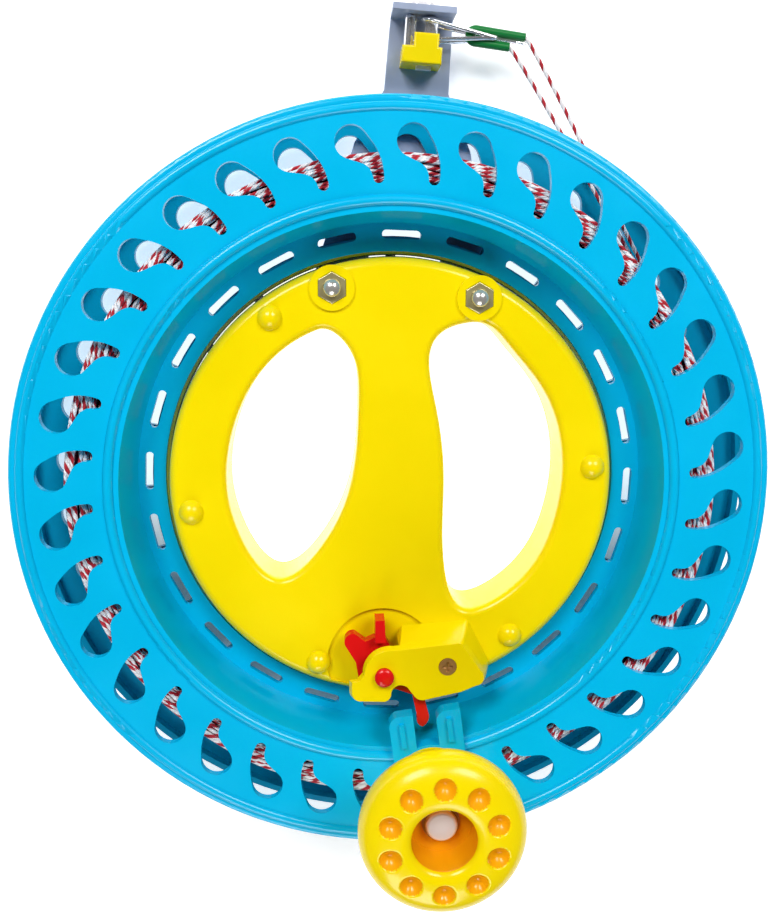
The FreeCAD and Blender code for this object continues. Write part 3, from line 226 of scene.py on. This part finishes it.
def floor_with_painted_glow(name, colour):
    """The studio table: a matt white sheet with a painted glow, strongest in the middle, and painted shade
    where the hub's slots look dark.
    """
    made, tree, shader = new_material(name)
    place = add_node(tree, "ShaderNodeTexCoord")
    away = add_node(tree, "ShaderNodeVectorMath", [(0, (place, "Object"))], operation="LENGTH")
    # The sheet's painted glow fades between 60 mm and 120 mm from the middle
    painted_glow = add_node(tree, "ShaderNodeMapRange", [("Value", (away, "Value")), ("From Min", 0.06),
                                                 ("From Max", 0.12), ("To Min", 0.95), ("To Max", 0.4)])
    # Painted shade: the glow is taken out in a ring from 58 mm to 88 mm, on the side away from the guide, for
    # the dark slots there
    ring = add_node(tree, "ShaderNodeValToRGB", [("Fac", (away, "Value"))])
    ring.color_ramp.elements[0].position = 0.058
    ring.color_ramp.elements[0].color = (0, 0, 0, 1)
    ring.color_ramp.elements[1].position = 0.064
    ring.color_ramp.elements[1].color = (1, 1, 1, 1)
    ring.color_ramp.elements.new(0.082).color = (1, 1, 1, 1)
    ring.color_ramp.elements.new(0.088).color = (0, 0, 0, 1)
    parts = add_node(tree, "ShaderNodeSeparateXYZ", [("Vector", (place, "Object"))])
    painted_shade_side = add_node(tree, "ShaderNodeMapRange", [("Value", (parts, "Y")), ("From Min", -0.035),
                                                      ("From Max", 0.0), ("To Min", 0.93), ("To Max", 0.0)])
    shade = add_node(tree, "ShaderNodeMath", [(0, ring), (1, painted_shade_side)], operation="MULTIPLY")
    left = add_node(tree, "ShaderNodeMath", [(0, 1.0), (1, shade)], operation="SUBTRACT")
    glow_after_painted_shade = add_node(tree, "ShaderNodeMath", [(0, painted_glow), (1, left)], operation="MULTIPLY")
    tree.links.new(glow_after_painted_shade.outputs[0], shader.inputs["Emission Strength"])
    set_shader(shader, Base_Color=colour, Roughness=0.9, Specular_IOR_Level=0.1,
               Emission_Color=linear("#FFFFFF"))
    return made


def finish(name):
    """The material of that name, made when it is first asked for."""
    if name in bpy.data.materials:
        return bpy.data.materials[name]
    colours = bpy.context.scene.winder_colours
    makers = {
        "blue ABS": lambda: moulded_abs(name, list(colours.wheel)),
        "yellow ABS": lambda: moulded_abs(name, list(colours.grip)),
        "red ABS": lambda: moulded_abs(name, list(colours.lever)),
        "green PVC tube": lambda: moulded_abs(name, list(colours.sleeve), 0.35),
        "coated sheet steel": lambda: coated_steel(name, list(colours.bracket)),
        "bright zinc plate": lambda: metal(name, linear("#DCD8D0"), 0.2, metallic=0.7),
        "yellow zinc plate": lambda: metal(name, linear("#D8C98F"), 0.2, metallic=0.65),
        "dark bronze plate": lambda: metal(name, linear("#B98B57"), 0.28, metallic=0.6),
        "bright nickel": lambda: metal(name, linear("#F4F1F2"), 0.3, metallic=0.3),
        "polished chrome": lambda: metal(name, linear("#F4F4F8"), 0.07, 0.05, metallic=0.85),
        # Darker than the front half, in place of the shade that the photo has behind the holes
        "blue ABS, rear half in painted shade": lambda: moulded_abs(name, [c * 0.66 for c in colours.wheel[:3]] + [1.0]),
        # Deeper than the grip's yellow, in place of the light that bounces in the dimples
        "yellow ABS with painted bounce light": lambda: moulded_abs(name, linear("#F2A90A")),
        "yarn in painted shade": lambda: painted_shade_yarn(name, linear("#14142E")),
        "ground bearing steel": lambda: metal(name, linear("#C9C6C2"), 0.2),
        "dark nylon": lambda: moulded_abs(name, linear("#3A3733"), 0.5),
        "twisted polyester line": lambda: twisted_line(name, list(colours.line), list(colours.line_marker)),
    }
    return makers[name]()


# Mesh tools

def new_piece(name, bm, body, material, nodes=(), smooth=30.0):
    """A finished piece from a bmesh: it rides on its body and stands for its CAD nodes."""
    mesh = bpy.data.meshes.new(name)
    bm.to_mesh(mesh)
    bm.free()
    for polygon in mesh.polygons:
        polygon.use_smooth = True
    mesh.set_sharp_from_angle(angle=math.radians(smooth))
    made = bpy.data.objects.new(name, mesh)
    bpy.context.scene.collection.objects.link(made)
    mesh.materials.append(finish(material))
    even = made.modifiers.new("even shading", "WEIGHTED_NORMAL")
    even.keep_sharp = True
    for node in nodes:
        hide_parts(node)
    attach(made, body)
    return made


def merged_copy(*nodes):
    """The CAD solids of these nodes in one bmesh, with their triangles joined into flat faces."""
    bm = bmesh.new()
    for node in nodes:
        bm.from_mesh(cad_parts[node].data)
    bmesh.ops.remove_doubles(bm, verts=bm.verts, dist=2e-6)
    bmesh.ops.dissolve_limit(bm, angle_limit=math.radians(0.4), verts=bm.verts, edges=bm.edges)
    return bm


def soften(bm, width, segments=2, angle=35.0):
    """Rounds off the edges of a bmesh that are sharper than the angle."""
    edges = [edge for edge in bm.edges
             if len(edge.link_faces) == 2 and edge.calc_face_angle(0.0) > math.radians(angle)]
    bmesh.ops.bevel(bm, geom=edges, offset=width, offset_type="OFFSET", segments=segments, profile=0.5,
                    affect="EDGES", clamp_overlap=True, material=-1)


def lathe(bm, profile, steps):
    """Adds a ring with a closed (radius, z) profile round the wheel's axis."""
    corners = [bm.verts.new((radius, 0, z)) for radius, z in profile]
    edges = [bm.edges.new((corner, corners[k - 1])) for k, corner in enumerate(corners)]
    spun = bmesh.ops.spin(bm, geom=edges, axis=(0, 0, 1), cent=(0, 0, 0), angle=2 * math.pi, steps=steps)
    made = [item for item in spun["geom_last"] if isinstance(item, bmesh.types.BMVert)]
    bmesh.ops.remove_doubles(bm, verts=corners + made, dist=1e-7)
    faces = [face for face in bm.faces if face.is_valid]
    bmesh.ops.recalc_face_normals(bm, faces=faces)


def dressed(name, nodes, body, material, width=0.0004, segments=2):
    """A softened copy of CAD solids, as a piece of its own."""
    bm = merged_copy(*nodes)
    if width:
        soften(bm, width, segments)
    return new_piece(name, bm, body, material, nodes)


# The crank's knob

KNOB_FOOT = 37.8 * MM
KNOB_TOP = 72.0 * MM
KNOB_EQUATOR = 64.1 * MM
KNOB_RADIUS = 23.4 * MM
KNOB_CREST_RADIUS = 12.4 * MM
KNOB_HOLE_RADIUS = 9.0 * MM
KNOB_HOLE_EDGE = 70.0 * MM
KNOB_CREST_POWER = 0.84
KNOB_HOLE_FLOOR = 59.5 * MM
KNOB_BORE_RADIUS = 2.1 * MM
DIMPLE_CIRCLE = 15.4 * MM
DIMPLE_RADIUS = 3.3 * MM
DIMPLE_DEPTH = 3.0 * MM
DIMPLES = 10

# The knob's foot, waist and underside, as (radius, height) in millimetres
KNOB_STEM = ((11.8, 37.8), (11.7, 39.2), (11.0, 40.8), (10.0, 42.6), (9.6, 45.8), (9.9, 48.5), (11.0, 51.6),
             (13.2, 54.4), (16.6, 56.9), (20.2, 58.9), (22.3, 60.8), (23.2, 62.5))


def knob_form():
    """The mushroom knob: a rolled rim round a deep hole, with a ring of round dimples."""
    profile = [(KNOB_BORE_RADIUS, KNOB_HOLE_FLOOR), (KNOB_BORE_RADIUS, KNOB_FOOT)]
    profile += [(radius * MM, level * MM) for radius, level in KNOB_STEM]
    # The rim rolls over from the equator to the crest, then down into the hole
    for k in range(33):
        angle = math.pi / 2 * k / 32
        across = max(math.cos(angle), 0) ** KNOB_CREST_POWER
        up = math.sin(angle) ** KNOB_CREST_POWER
        profile.append((KNOB_CREST_RADIUS + (KNOB_RADIUS - KNOB_CREST_RADIUS) * across,
                        KNOB_EQUATOR + (KNOB_TOP - KNOB_EQUATOR) * up))
    for k in range(1, 25):
        angle = math.pi / 2 * k / 24
        profile.append((KNOB_CREST_RADIUS - (KNOB_CREST_RADIUS - KNOB_HOLE_RADIUS) * math.sin(angle),
                        KNOB_HOLE_EDGE + (KNOB_TOP - KNOB_HOLE_EDGE) * math.cos(angle)))
    profile.append((KNOB_HOLE_RADIUS, KNOB_HOLE_FLOOR))
    bm = bmesh.new()
    lathe(bm, profile, 300)
    # The wide face is split once more, so that its dimples come out round
    wide = []
    for edge in bm.edges:
        low, high = [vert.co for vert in edge.verts]
        rise = abs(low.z - high.z) + abs(low.to_2d().length - high.to_2d().length)
        if low.z > KNOB_EQUATOR and rise > 0.4 * MM:
            wide.append(edge)
    bmesh.ops.subdivide_edges(bm, edges=wide, cuts=1)
    centres = []
    for k in range(DIMPLES):
        angle = 2 * math.pi * k / DIMPLES + math.pi / 2
        centres.append(Vector((math.cos(angle), math.sin(angle))) * DIMPLE_CIRCLE)
    for vert in bm.verts:
        if vert.co.z > KNOB_EQUATOR:
            away = min((vert.co.to_2d() - centre).length for centre in centres) / DIMPLE_RADIUS
            if away < 1:
                vert.co.z -= DIMPLE_DEPTH * (1 - away ** 2)
    # Painted bounce light: the faces inside the dimples and the hole take a deeper yellow, in place of the
    # light that bounces there
    for face in bm.faces:
        middle = face.calc_center_median()
        away = min((middle.to_2d() - centre).length for centre in centres)
        in_dimple = middle.z > KNOB_EQUATOR and away < DIMPLE_RADIUS - 0.25 * MM
        in_hole = middle.z > KNOB_HOLE_FLOOR - MM and middle.to_2d().length < KNOB_HOLE_RADIUS + 0.05 * MM
        face.material_index = 1 if in_dimple or in_hole else 0
    bmesh.ops.translate(bm, verts=bm.verts, vec=CRANK_AXIS)
    return bm


# The line

PACK_INNER_RADIUS = 82.8 * MM
PACK_OUTER_RADIUS = 95.0 * MM
PACK_BACK = 8.6 * MM
PACK_FRONT = 31.4 * MM

# The dip of the pack round the crank's nut
DENT_REACH = 11 * MM
DENT_HEIGHT = 8 * MM
DENT_DEPTH = 5.8 * MM

# How far the turns wander across and along the drum, and the fineness of the leads
FACE_WANDER_ACROSS = 3.0 * MM
FACE_WANDER_ALONG = 0.8 * MM
OUTER_WANDER_ACROSS = 0.15 * MM
OUTER_WANDER_ALONG = 1.6 * MM
STEPS_PER_TWIST = 12
LEAD_SIDES = 15

# The strands' routes, from the winding to the sleeve's mouths
LEAD_A = ((95.16, 12.06, 17.92), (92.63, 32.27, 16.86), (78.36, 55.84, 15.29), (35.8, 126.15, 10.6),
          (34.41, 126.34, 10.6))
LEAD_B = ((95.68, 6.47, 21.44), (94.36, 26.76, 19.94), (81.53, 51.09, 17.72), (40.45, 129.03, 10.6),
          (39.06, 129.22, 10.6))


def pack_fill(inner, outer, back, inner_front, outer_front):
    """The body of the pack, under its outer strands."""
    bm = bmesh.new()
    corners = [Vector((r, 0, z)) for r, z in ((inner, back), (outer, back), (outer, outer_front),
                                              (inner, inner_front))]
    corners = [bm.verts.new(c) for c in corners]
    edges = [bm.edges.new((corners[k], corners[(k + 1) % 4])) for k in range(4)]
    bmesh.ops.spin(bm, geom=edges, axis=(0, 0, 1), cent=(0, 0, 0), angle=2 * math.pi, steps=72,
                   use_merge=True)
    for vert in bm.verts:
        vert.co.z -= crank_dent(vert.co)
    bm.loops.layers.uv.new("line")
    return bm


def crank_dent(place):
    """How far the line dips where the crank's nut stands in the groove."""
    away = (Vector((place.x, place.y, 0)) - CRANK_AXIS).length
    if place.z < PACK_FRONT - DENT_HEIGHT or away > DENT_REACH:
        return 0.0
    return DENT_DEPTH / 2 * (1 + math.cos(math.pi * away / DENT_REACH))


def wound_ring(pack, sizes, radius, level, seed, radial_wander, axial_wander):
    """Adds one turn of line that wanders a little across its neighbours."""
    bm = bmesh.new()
    uv = bm.loops.layers.uv.new("line")
    half = sizes.line_diameter / 2
    upright = Matrix.Translation((radius, 0, level)) @ Matrix.Rotation(math.pi / 2, 4, "X")
    bmesh.ops.create_circle(bm, segments=6, radius=half, cap_ends=False, matrix=upright)
    bmesh.ops.spin(bm, geom=bm.edges[:], axis=(0, 0, 1), cent=(0, 0, 0), angle=2 * math.pi, steps=168,
                   use_merge=True)
    for face in bm.faces:
        middle = face.calc_center_median()
        turn_here = math.atan2(middle.y, middle.x)
        round_here = math.atan2(middle.z - level, middle.to_2d().length - radius)
        for loop in face.loops:
            place = loop.vert.co
            turn = near(math.atan2(place.y, place.x), turn_here)
            about = near(math.atan2(place.z - level, place.to_2d().length - radius), round_here)
            loop[uv].uv = (turn * radius / sizes.line_twist + seed, about / (2 * math.pi))
    room = min(radius - PACK_INNER_RADIUS - half, PACK_OUTER_RADIUS - half - radius)
    radial = max(0.0, min(radial_wander, room))
    for vert in bm.verts:
        turn = math.atan2(vert.co.y, vert.co.x)
        wave = noise.noise(Vector((math.cos(turn) * 2.6, math.sin(turn) * 2.6, seed)))
        wave += 0.5 * math.sin(7 * turn + seed)
        rise = noise.noise(Vector((math.cos(turn) * 3.1, math.sin(turn) * 3.1, seed + 40)))
        out = vert.co.to_2d().normalized() * radial * wave
        vert.co += Vector((out.x, out.y, axial_wander * rise))
        vert.co.z = min(max(vert.co.z, PACK_BACK), PACK_FRONT)
        vert.co.z -= crank_dent(vert.co)
    turn_mesh = bpy.data.meshes.new("turn")
    bm.to_mesh(turn_mesh)
    bm.free()
    pack.from_mesh(turn_mesh)
    bpy.data.meshes.remove(turn_mesh)


def near(angle, other):
    """The same angle, less than half a turn from the other one."""
    return angle - 2 * math.pi * round((angle - other) / (2 * math.pi))


def route_points(route):
    """The smooth line of a route, as the curve itself gives it."""
    curve = bpy.data.curves.new("route", "CURVE")
    curve.dimensions = "3D"
    curve.resolution_u = 40
    spline = curve.splines.new("NURBS")
    spline.points.add(len(route) - 1)
    for point, place in zip(spline.points, route):
        point.co = (place[0] * MM, place[1] * MM, place[2] * MM, 1.0)
    spline.order_u = 3
    spline.use_endpoint_u = True
    holder = bpy.data.objects.new("route", curve)
    mesh = bpy.data.meshes.new_from_object(holder)
    points = [vert.co.copy() for vert in mesh.vertices]
    bpy.data.objects.remove(holder)
    bpy.data.curves.remove(curve)
    bpy.data.meshes.remove(mesh)
    return points


def twisted_tube(path, sizes):
    """Three laid strands along a path, with the map that the line's material reads."""
    bm = bmesh.new()
    uv = bm.loops.layers.uv.new("line")
    sides = LEAD_SIDES
    half = sizes.line_diameter / 2
    stations = even_steps(path, sizes.line_twist / STEPS_PER_TWIST)
    across = (stations[1] - stations[0]).orthogonal().normalized()
    rings = []
    for k, place in enumerate(stations):
        way = (stations[min(k + 1, len(stations) - 1)] - stations[max(k - 1, 0)]).normalized()
        across = (across - way * across.dot(way)).normalized()
        other = way.cross(across)
        turn = 2 * math.pi * k / STEPS_PER_TWIST
        ring = []
        for side in range(sides):
            angle = 2 * math.pi * side / sides
            reach = half * (0.86 + 0.14 * abs(math.cos(1.5 * (angle - turn))))
            ring.append(bm.verts.new(place + (across * math.cos(angle) + other * math.sin(angle)) * reach))
        rings.append(ring)
    for k, (ring, following) in enumerate(zip(rings, rings[1:])):
        for side in range(sides):
            after = (side + 1) % sides
            face = bm.faces.new((ring[side], ring[after], following[after], following[side]))
            corners = ((k, side), (k, side + 1), (k + 1, side + 1), (k + 1, side))
            for loop, (step, corner) in zip(face.loops, corners):
                loop[uv].uv = (step / STEPS_PER_TWIST, corner / sides)
    for ring in (rings[0], rings[-1]):
        bm.faces.new(ring)
    bmesh.ops.recalc_face_normals(bm, faces=bm.faces)
    return bm


def even_steps(path, step):
    """Points at even distances along a path."""
    points = [path[0]]
    left = step
    for here, there in zip(path, path[1:]):
        run = (there - here).length
        while left <= run:
            points.append(here + (there - here) * (left / run))
            left += step
        left -= run
    points.append(path[-1])
    return points


# Settings

class WinderSizes(bpy.types.PropertyGroup):
    rim_round: length_setting("Rim rounding", "Rounding of the wheel's moulded edges", 0.7)
    grip_round: length_setting("Grip rounding", "Extra rounding of the grip's edges", 0.4)
    line_twist: length_setting("Twist of the line", "Length of one twist of the line", 5.2)
    line_diameter: length_setting("Line diameter", "Thickness of the line", 1.2)
    face_strands: IntProperty(name="Strands of a face", description="Turns that show on each face of the pack",
                              default=12, min=4, max=20)
    outer_strands: IntProperty(name="Outer strands", description="Turns that show on the outside of the pack",
                               default=18, min=6, max=24)


class WinderColours(bpy.types.PropertyGroup):
    wheel: colour_setting("Wheel", "Blue of the wheel and the crank's bracket", "#00B6E6")
    grip: colour_setting("Grip and knob", "Yellow of the grip, the cover, the block and the knob", "#F4DA00")
    lever: colour_setting("Lever", "Red of the lock lever", "#DE1414")
    sleeve: colour_setting("Sleeve", "Green of the clip's sleeve", "#0B7A35")
    bracket: colour_setting("Bracket", "Grey-blue of the guide's steel plate", "#A9B5D0")
    line: colour_setting("Line", "White of the line", "#F1ECEC")
    line_marker: colour_setting("Line's marker yarn", "Red of the line's marker yarn", "#B80C22")


# Pieces

class BuildCamera(bpy.types.Operator):
    """Sets up the camera as the picture was taken"""
    bl_idname = "winder.camera"
    bl_label = "Camera"

    def execute(self, context):
        lens = bpy.data.cameras.new("camera")
        lens.sensor_fit = "HORIZONTAL"
        lens.sensor_width = CAMERA_SENSOR
        lens.lens = CAMERA_LENS
        lens.clip_start = 0.01
        lens.clip_end = 20.0
        made = bpy.data.objects.new("camera", lens)
        context.scene.collection.objects.link(made)
        right = CAMERA_AHEAD.cross(Vector((0, 1, 0))).normalized()
        up = right.cross(CAMERA_AHEAD)
        turn = Matrix((right, up, -CAMERA_AHEAD)).transposed().to_4x4()
        made.matrix_world = Matrix.Translation(CAMERA_PLACE) @ turn
        context.scene.camera = made
        return {"FINISHED"}


class BuildWheel(bpy.types.Operator):
    """Builds the wheel's two moulded halves"""
    bl_idname = "winder.wheel"
    bl_label = "Wheel"

    def execute(self, context):
        width = context.scene.winder_sizes.rim_round
        dressed("wheel_front", ["spool_front"], "spool", "blue ABS", width)
        # The rear half's blue is darkened as painted shade
        dressed("wheel_back", ["spool_back"], "spool", "blue ABS, rear half in painted shade", width)
        return {"FINISHED"}


class BuildBearing(bpy.types.Operator):
    """Builds the ring bearing"""
    bl_idname = "winder.bearing"
    bl_label = "Bearing"

    def execute(self, context):
        bm = merged_copy("bearing_outer_race")
        soften(bm, 0.0002)
        # The polished dished shield that closes the gap over the balls
        lathe(bm, [(radius * MM, level * MM) for radius, level in SHIELD_PROFILE], 144)
        new_piece("outer_race", bm, "spool", "polished chrome", ["bearing_outer_race"])
        dressed("inner_race", ["bearing_inner_race"], "grip", "ground bearing steel", 0.0002)
        dressed("balls", ["bearing_balls"], "ball_set", "ground bearing steel", 0)
        dressed("ball_cage", ["bearing_cage"], "ball_set", "dark nylon", 0)
        return {"FINISHED"}


class BuildGrip(bpy.types.Operator):
    """Builds the grip's two halves"""
    bl_idname = "winder.grip"
    bl_label = "Grip"

    def execute(self, context):
        width = context.scene.winder_sizes.grip_round
        dressed("grip_face", ["grip_front"], "grip", "yellow ABS", width)
        dressed("grip_rear", ["grip_back"], "grip", "yellow ABS", width)
        return {"FINISHED"}


class BuildFasteners(bpy.types.Operator):
    """Builds the screws, bolts and nuts"""
    bl_idname = "winder.fasteners"
    bl_label = "Fasteners"

    def execute(self, context):
        plate = "bright zinc plate"
        dressed("wheel_screws", ["spool_screws"], "spool", plate, 0.00015)
        dressed("rear_screws", ["grip_screws"], "grip", plate, 0.0001)
        dressed("bracket_bolts", ["guide_bolts"], "grip", plate, 0.0002)
        dressed("bracket_nuts", ["guide_nuts"], "grip", "yellow zinc plate", 0.0002)
        dressed("cover_screw", ["lock_cover_screw"], "grip", "dark bronze plate", 0.00015)
        dressed("axle_bolt", ["knob_bolt"], "spool", "bright nickel", 0.0005, 4)
        dressed("axle_washer", ["knob_washer"], "spool", "dark bronze plate", 0.0001)
        dressed("axle_nut", ["knob_nut"], "spool", plate, 0.0002)
        return {"FINISHED"}


class BuildGuide(bpy.types.Operator):
    """Builds the line guide with its rollers"""
    bl_idname = "winder.guide"
    bl_label = "Line guide"

    def execute(self, context):
        dressed("guide_plate", ["guide_bracket"], "grip", "coated sheet steel", 0.0003)
        dressed("roller_1", ["guide_roller_left"], "roller_left", "polished chrome", 0.0001)
        dressed("roller_2", ["guide_roller_right"], "roller_right", "polished chrome", 0.0001)
        dressed("roller_pins", ["guide_pins"], "grip", "bright nickel", 0.0002)
        dressed("roller_block", ["guide_block"], "grip", "yellow ABS", 0.0005, 3)
        return {"FINISHED"}


class BuildLock(bpy.types.Operator):
    """Builds the lock's lever and cover"""
    bl_idname = "winder.lock"
    bl_label = "Lock"

    def execute(self, context):
        bm = merged_copy("lock_lever")
        soften(bm, 0.0004, 3)
        # The pin's riveted end, a low dome over the cover
        top = max(vert.co.z for vert in bm.verts)
        dome = bmesh.ops.create_uvsphere(bm, u_segments=40, v_segments=20, radius=PIVOT_DOME_RADIUS)["verts"]
        bmesh.ops.scale(bm, vec=(1, 1, 0.42), verts=dome)
        bmesh.ops.translate(bm, vec=LOCK_PIVOT + Vector((0, 0, top + 0.95 * MM)), verts=dome)
        new_piece("lever", bm, "lever", "red ABS", ["lock_lever"])
        dressed("cover", ["lock_cover"], "grip", "yellow ABS", 0.0009, 4)
        return {"FINISHED"}


class BuildCrank(bpy.types.Operator):
    """Builds the crank's bracket and knob"""
    bl_idname = "winder.crank"
    bl_label = "Crank"

    def execute(self, context):
        dressed("bracket", ["crank_bracket"], "spool", "blue ABS", 0.0004, 3)
        knob = new_piece("crank_knob", knob_form(), "knob", "yellow ABS", ["knob"], 50)
        # The second material paints the light that bounces in the dimples and the hole
        knob.data.materials.append(finish("yellow ABS with painted bounce light"))
        return {"FINISHED"}


class BuildLine(bpy.types.Operator):
    """Builds the wound line and its two taut strands"""
    bl_idname = "winder.line"
    bl_label = "Line"

    def execute(self, context):
        sizes = context.scene.winder_sizes
        inner = PACK_INNER_RADIUS
        outer = PACK_OUTER_RADIUS - sizes.line_diameter / 2
        back = PACK_BACK + sizes.line_diameter / 2
        front = PACK_FRONT - sizes.line_diameter / 2
        bm = pack_fill(inner, outer - sizes.line_diameter, back + 1.6 * MM, front - 4.6 * MM,
                       front - 1.2 * MM)
        fill_faces = len(bm.faces)
        for level, inward, rows in ((front, -1, 2), (back, 1, 1)):
            for row in range(rows):
                # The lower row ends where the tips of the holes show the dark gaps between the turns, the
                # pack's body in painted shade
                for k in range(sizes.face_strands // 3 * row, sizes.face_strands):
                    share = (k + 0.5 * row) / sizes.face_strands
                    radius = inner + 0.7 * MM + (outer - inner - 0.9 * MM) * share
                    sink = (row * 0.5 + 3.4 * (1 - share) ** 2) * MM
                    wound_ring(bm, sizes, radius, level + inward * sink, 13.7 * k + 5 * row,
                               FACE_WANDER_ACROSS, FACE_WANDER_ALONG)
        pack = new_piece("line_pack", bm, "spool", "twisted polyester line", ["line_core"], 80)
        # The body of the pack, under the strands, carries painted shade
        pack.data.materials.append(finish("yarn in painted shade"))
        for polygon in pack.data.polygons[:fill_faces]:
            polygon.material_index = 1
        bm = bmesh.new()
        bm.loops.layers.uv.new("line")
        for k in range(sizes.outer_strands):
            level = back + (front - back) * (k + 0.5) / sizes.outer_strands
            wound_ring(bm, sizes, outer, level, 31.3 * k, OUTER_WANDER_ACROSS, OUTER_WANDER_ALONG)
        new_piece("line_turns", bm, "spool", "twisted polyester line", ["line_winding"], 80)
        for name, node, route, end in (("lead_1", "line_lead_a", LEAD_A, "clip_tube"),
                                       ("lead_2", "line_lead_b", LEAD_B, "clip_wire")):
            path = route_points(route)
            made = new_piece(name, twisted_tube(path, sizes), "grip", "twisted polyester line", [node], 80)
        return {"FINISHED"}


class BuildClip(bpy.types.Operator):
    """Builds the snap clip and its sleeve"""
    bl_idname = "winder.clip"
    bl_label = "Snap clip"

    def execute(self, context):
        for name, node, material, slot, more in (
                ("clip_wire", "snap_clip", "polished chrome", "chrome", 0.1 * MM),
                ("clip_tube", "clip_sleeve", "green PVC tube", "green_plastic", 0.3 * MM)):
            bm = merged_copy(node)
            bm.normal_update()
            for vert in bm.verts:
                vert.co += vert.normal * more
            new_piece(name, bm, "grip", material, [node])
        return {"FINISHED"}


class BuildStage(bpy.types.Operator):
    """Builds the pale table and the soft studio light"""
    bl_idname = "winder.stage"
    bl_label = "Stage"

    def execute(self, context):
        bm = bmesh.new()
        bmesh.ops.create_grid(bm, x_segments=2, y_segments=2, size=3.0)
        mesh = bpy.data.meshes.new("table")
        bm.to_mesh(mesh)
        bm.free()
        table = bpy.data.objects.new("table", mesh)
        context.scene.collection.objects.link(table)
        # The table's material carries a painted glow and a ring of painted shade
        mesh.materials.append(floor_with_painted_glow("white table with painted glow and shade", linear("#FFFFFF")))
        world = bpy.data.worlds.new("studio")
        world.use_nodes = True
        tree = world.node_tree
        place = add_node(tree, "ShaderNodeTexCoord")
        parts = add_node(tree, "ShaderNodeSeparateXYZ", [("Vector", (place, "Generated"))])
        sideways = add_node(tree, "ShaderNodeMath", [(0, (parts, "X"))], operation="ABSOLUTE")
        # White walls on both sides and a dimmer ceiling, where the camera hangs
        walls = add_node(tree, "ShaderNodeMapRange", [("Value", sideways), ("From Min", 0.2),
                                                      ("From Max", 0.75), ("To Min", 0.8), ("To Max", 1.7)])
        tree.links.new(walls.outputs[0], tree.nodes["Background"].inputs["Strength"])
        context.scene.world = world
        for name, place, size, power in SOFTBOXES:
            light = bpy.data.lights.new(name, "AREA")
            light.shape = "SQUARE"
            light.size = size
            light.energy = power
            lamp = bpy.data.objects.new(name, light)
            lamp.location = place
            lamp.rotation_euler = (Vector((0, 0, 0)) - lamp.location).to_track_quat("-Z", "Y").to_euler()
            context.scene.collection.objects.link(lamp)
        context.scene.view_settings.view_transform = "Standard"
        return {"FINISHED"}


class WinderPanel(bpy.types.Panel):
    """Lists the winder's settings and its pieces"""
    bl_idname = "VIEW3D_PT_winder"
    bl_label = "Kite line winder"
    bl_space_type = "VIEW_3D"
    bl_region_type = "UI"
    bl_category = "Winder"

    def draw(self, context):
        for group in (context.scene.winder_sizes, context.scene.winder_colours):
            for key in group.__annotations__:
                self.layout.prop(group, key)
        for step in STEPS:
            self.layout.operator(step.bl_idname)


STEPS = (BuildCamera, BuildClip, BuildLine, BuildWheel, BuildBearing, BuildGrip, BuildFasteners, BuildGuide,
         BuildLock, BuildCrank, BuildStage)
CLASSES = (WinderSizes, WinderColours) + STEPS + (WinderPanel,)


def register():
    for kind in CLASSES:
        bpy.utils.register_class(kind)
    bpy.types.Scene.winder_sizes = PointerProperty(type=WinderSizes)
    bpy.types.Scene.winder_colours = PointerProperty(type=WinderColours)


def unregister():
    del bpy.types.Scene.winder_colours
    del bpy.types.Scene.winder_sizes
    for kind in reversed(CLASSES):
        bpy.utils.unregister_class(kind)


def main():
    register()
    for step in STEPS:
        group, name = step.bl_idname.split(".")
        getattr(getattr(bpy.ops, group), name)()


if __name__ == "__main__":
    main()
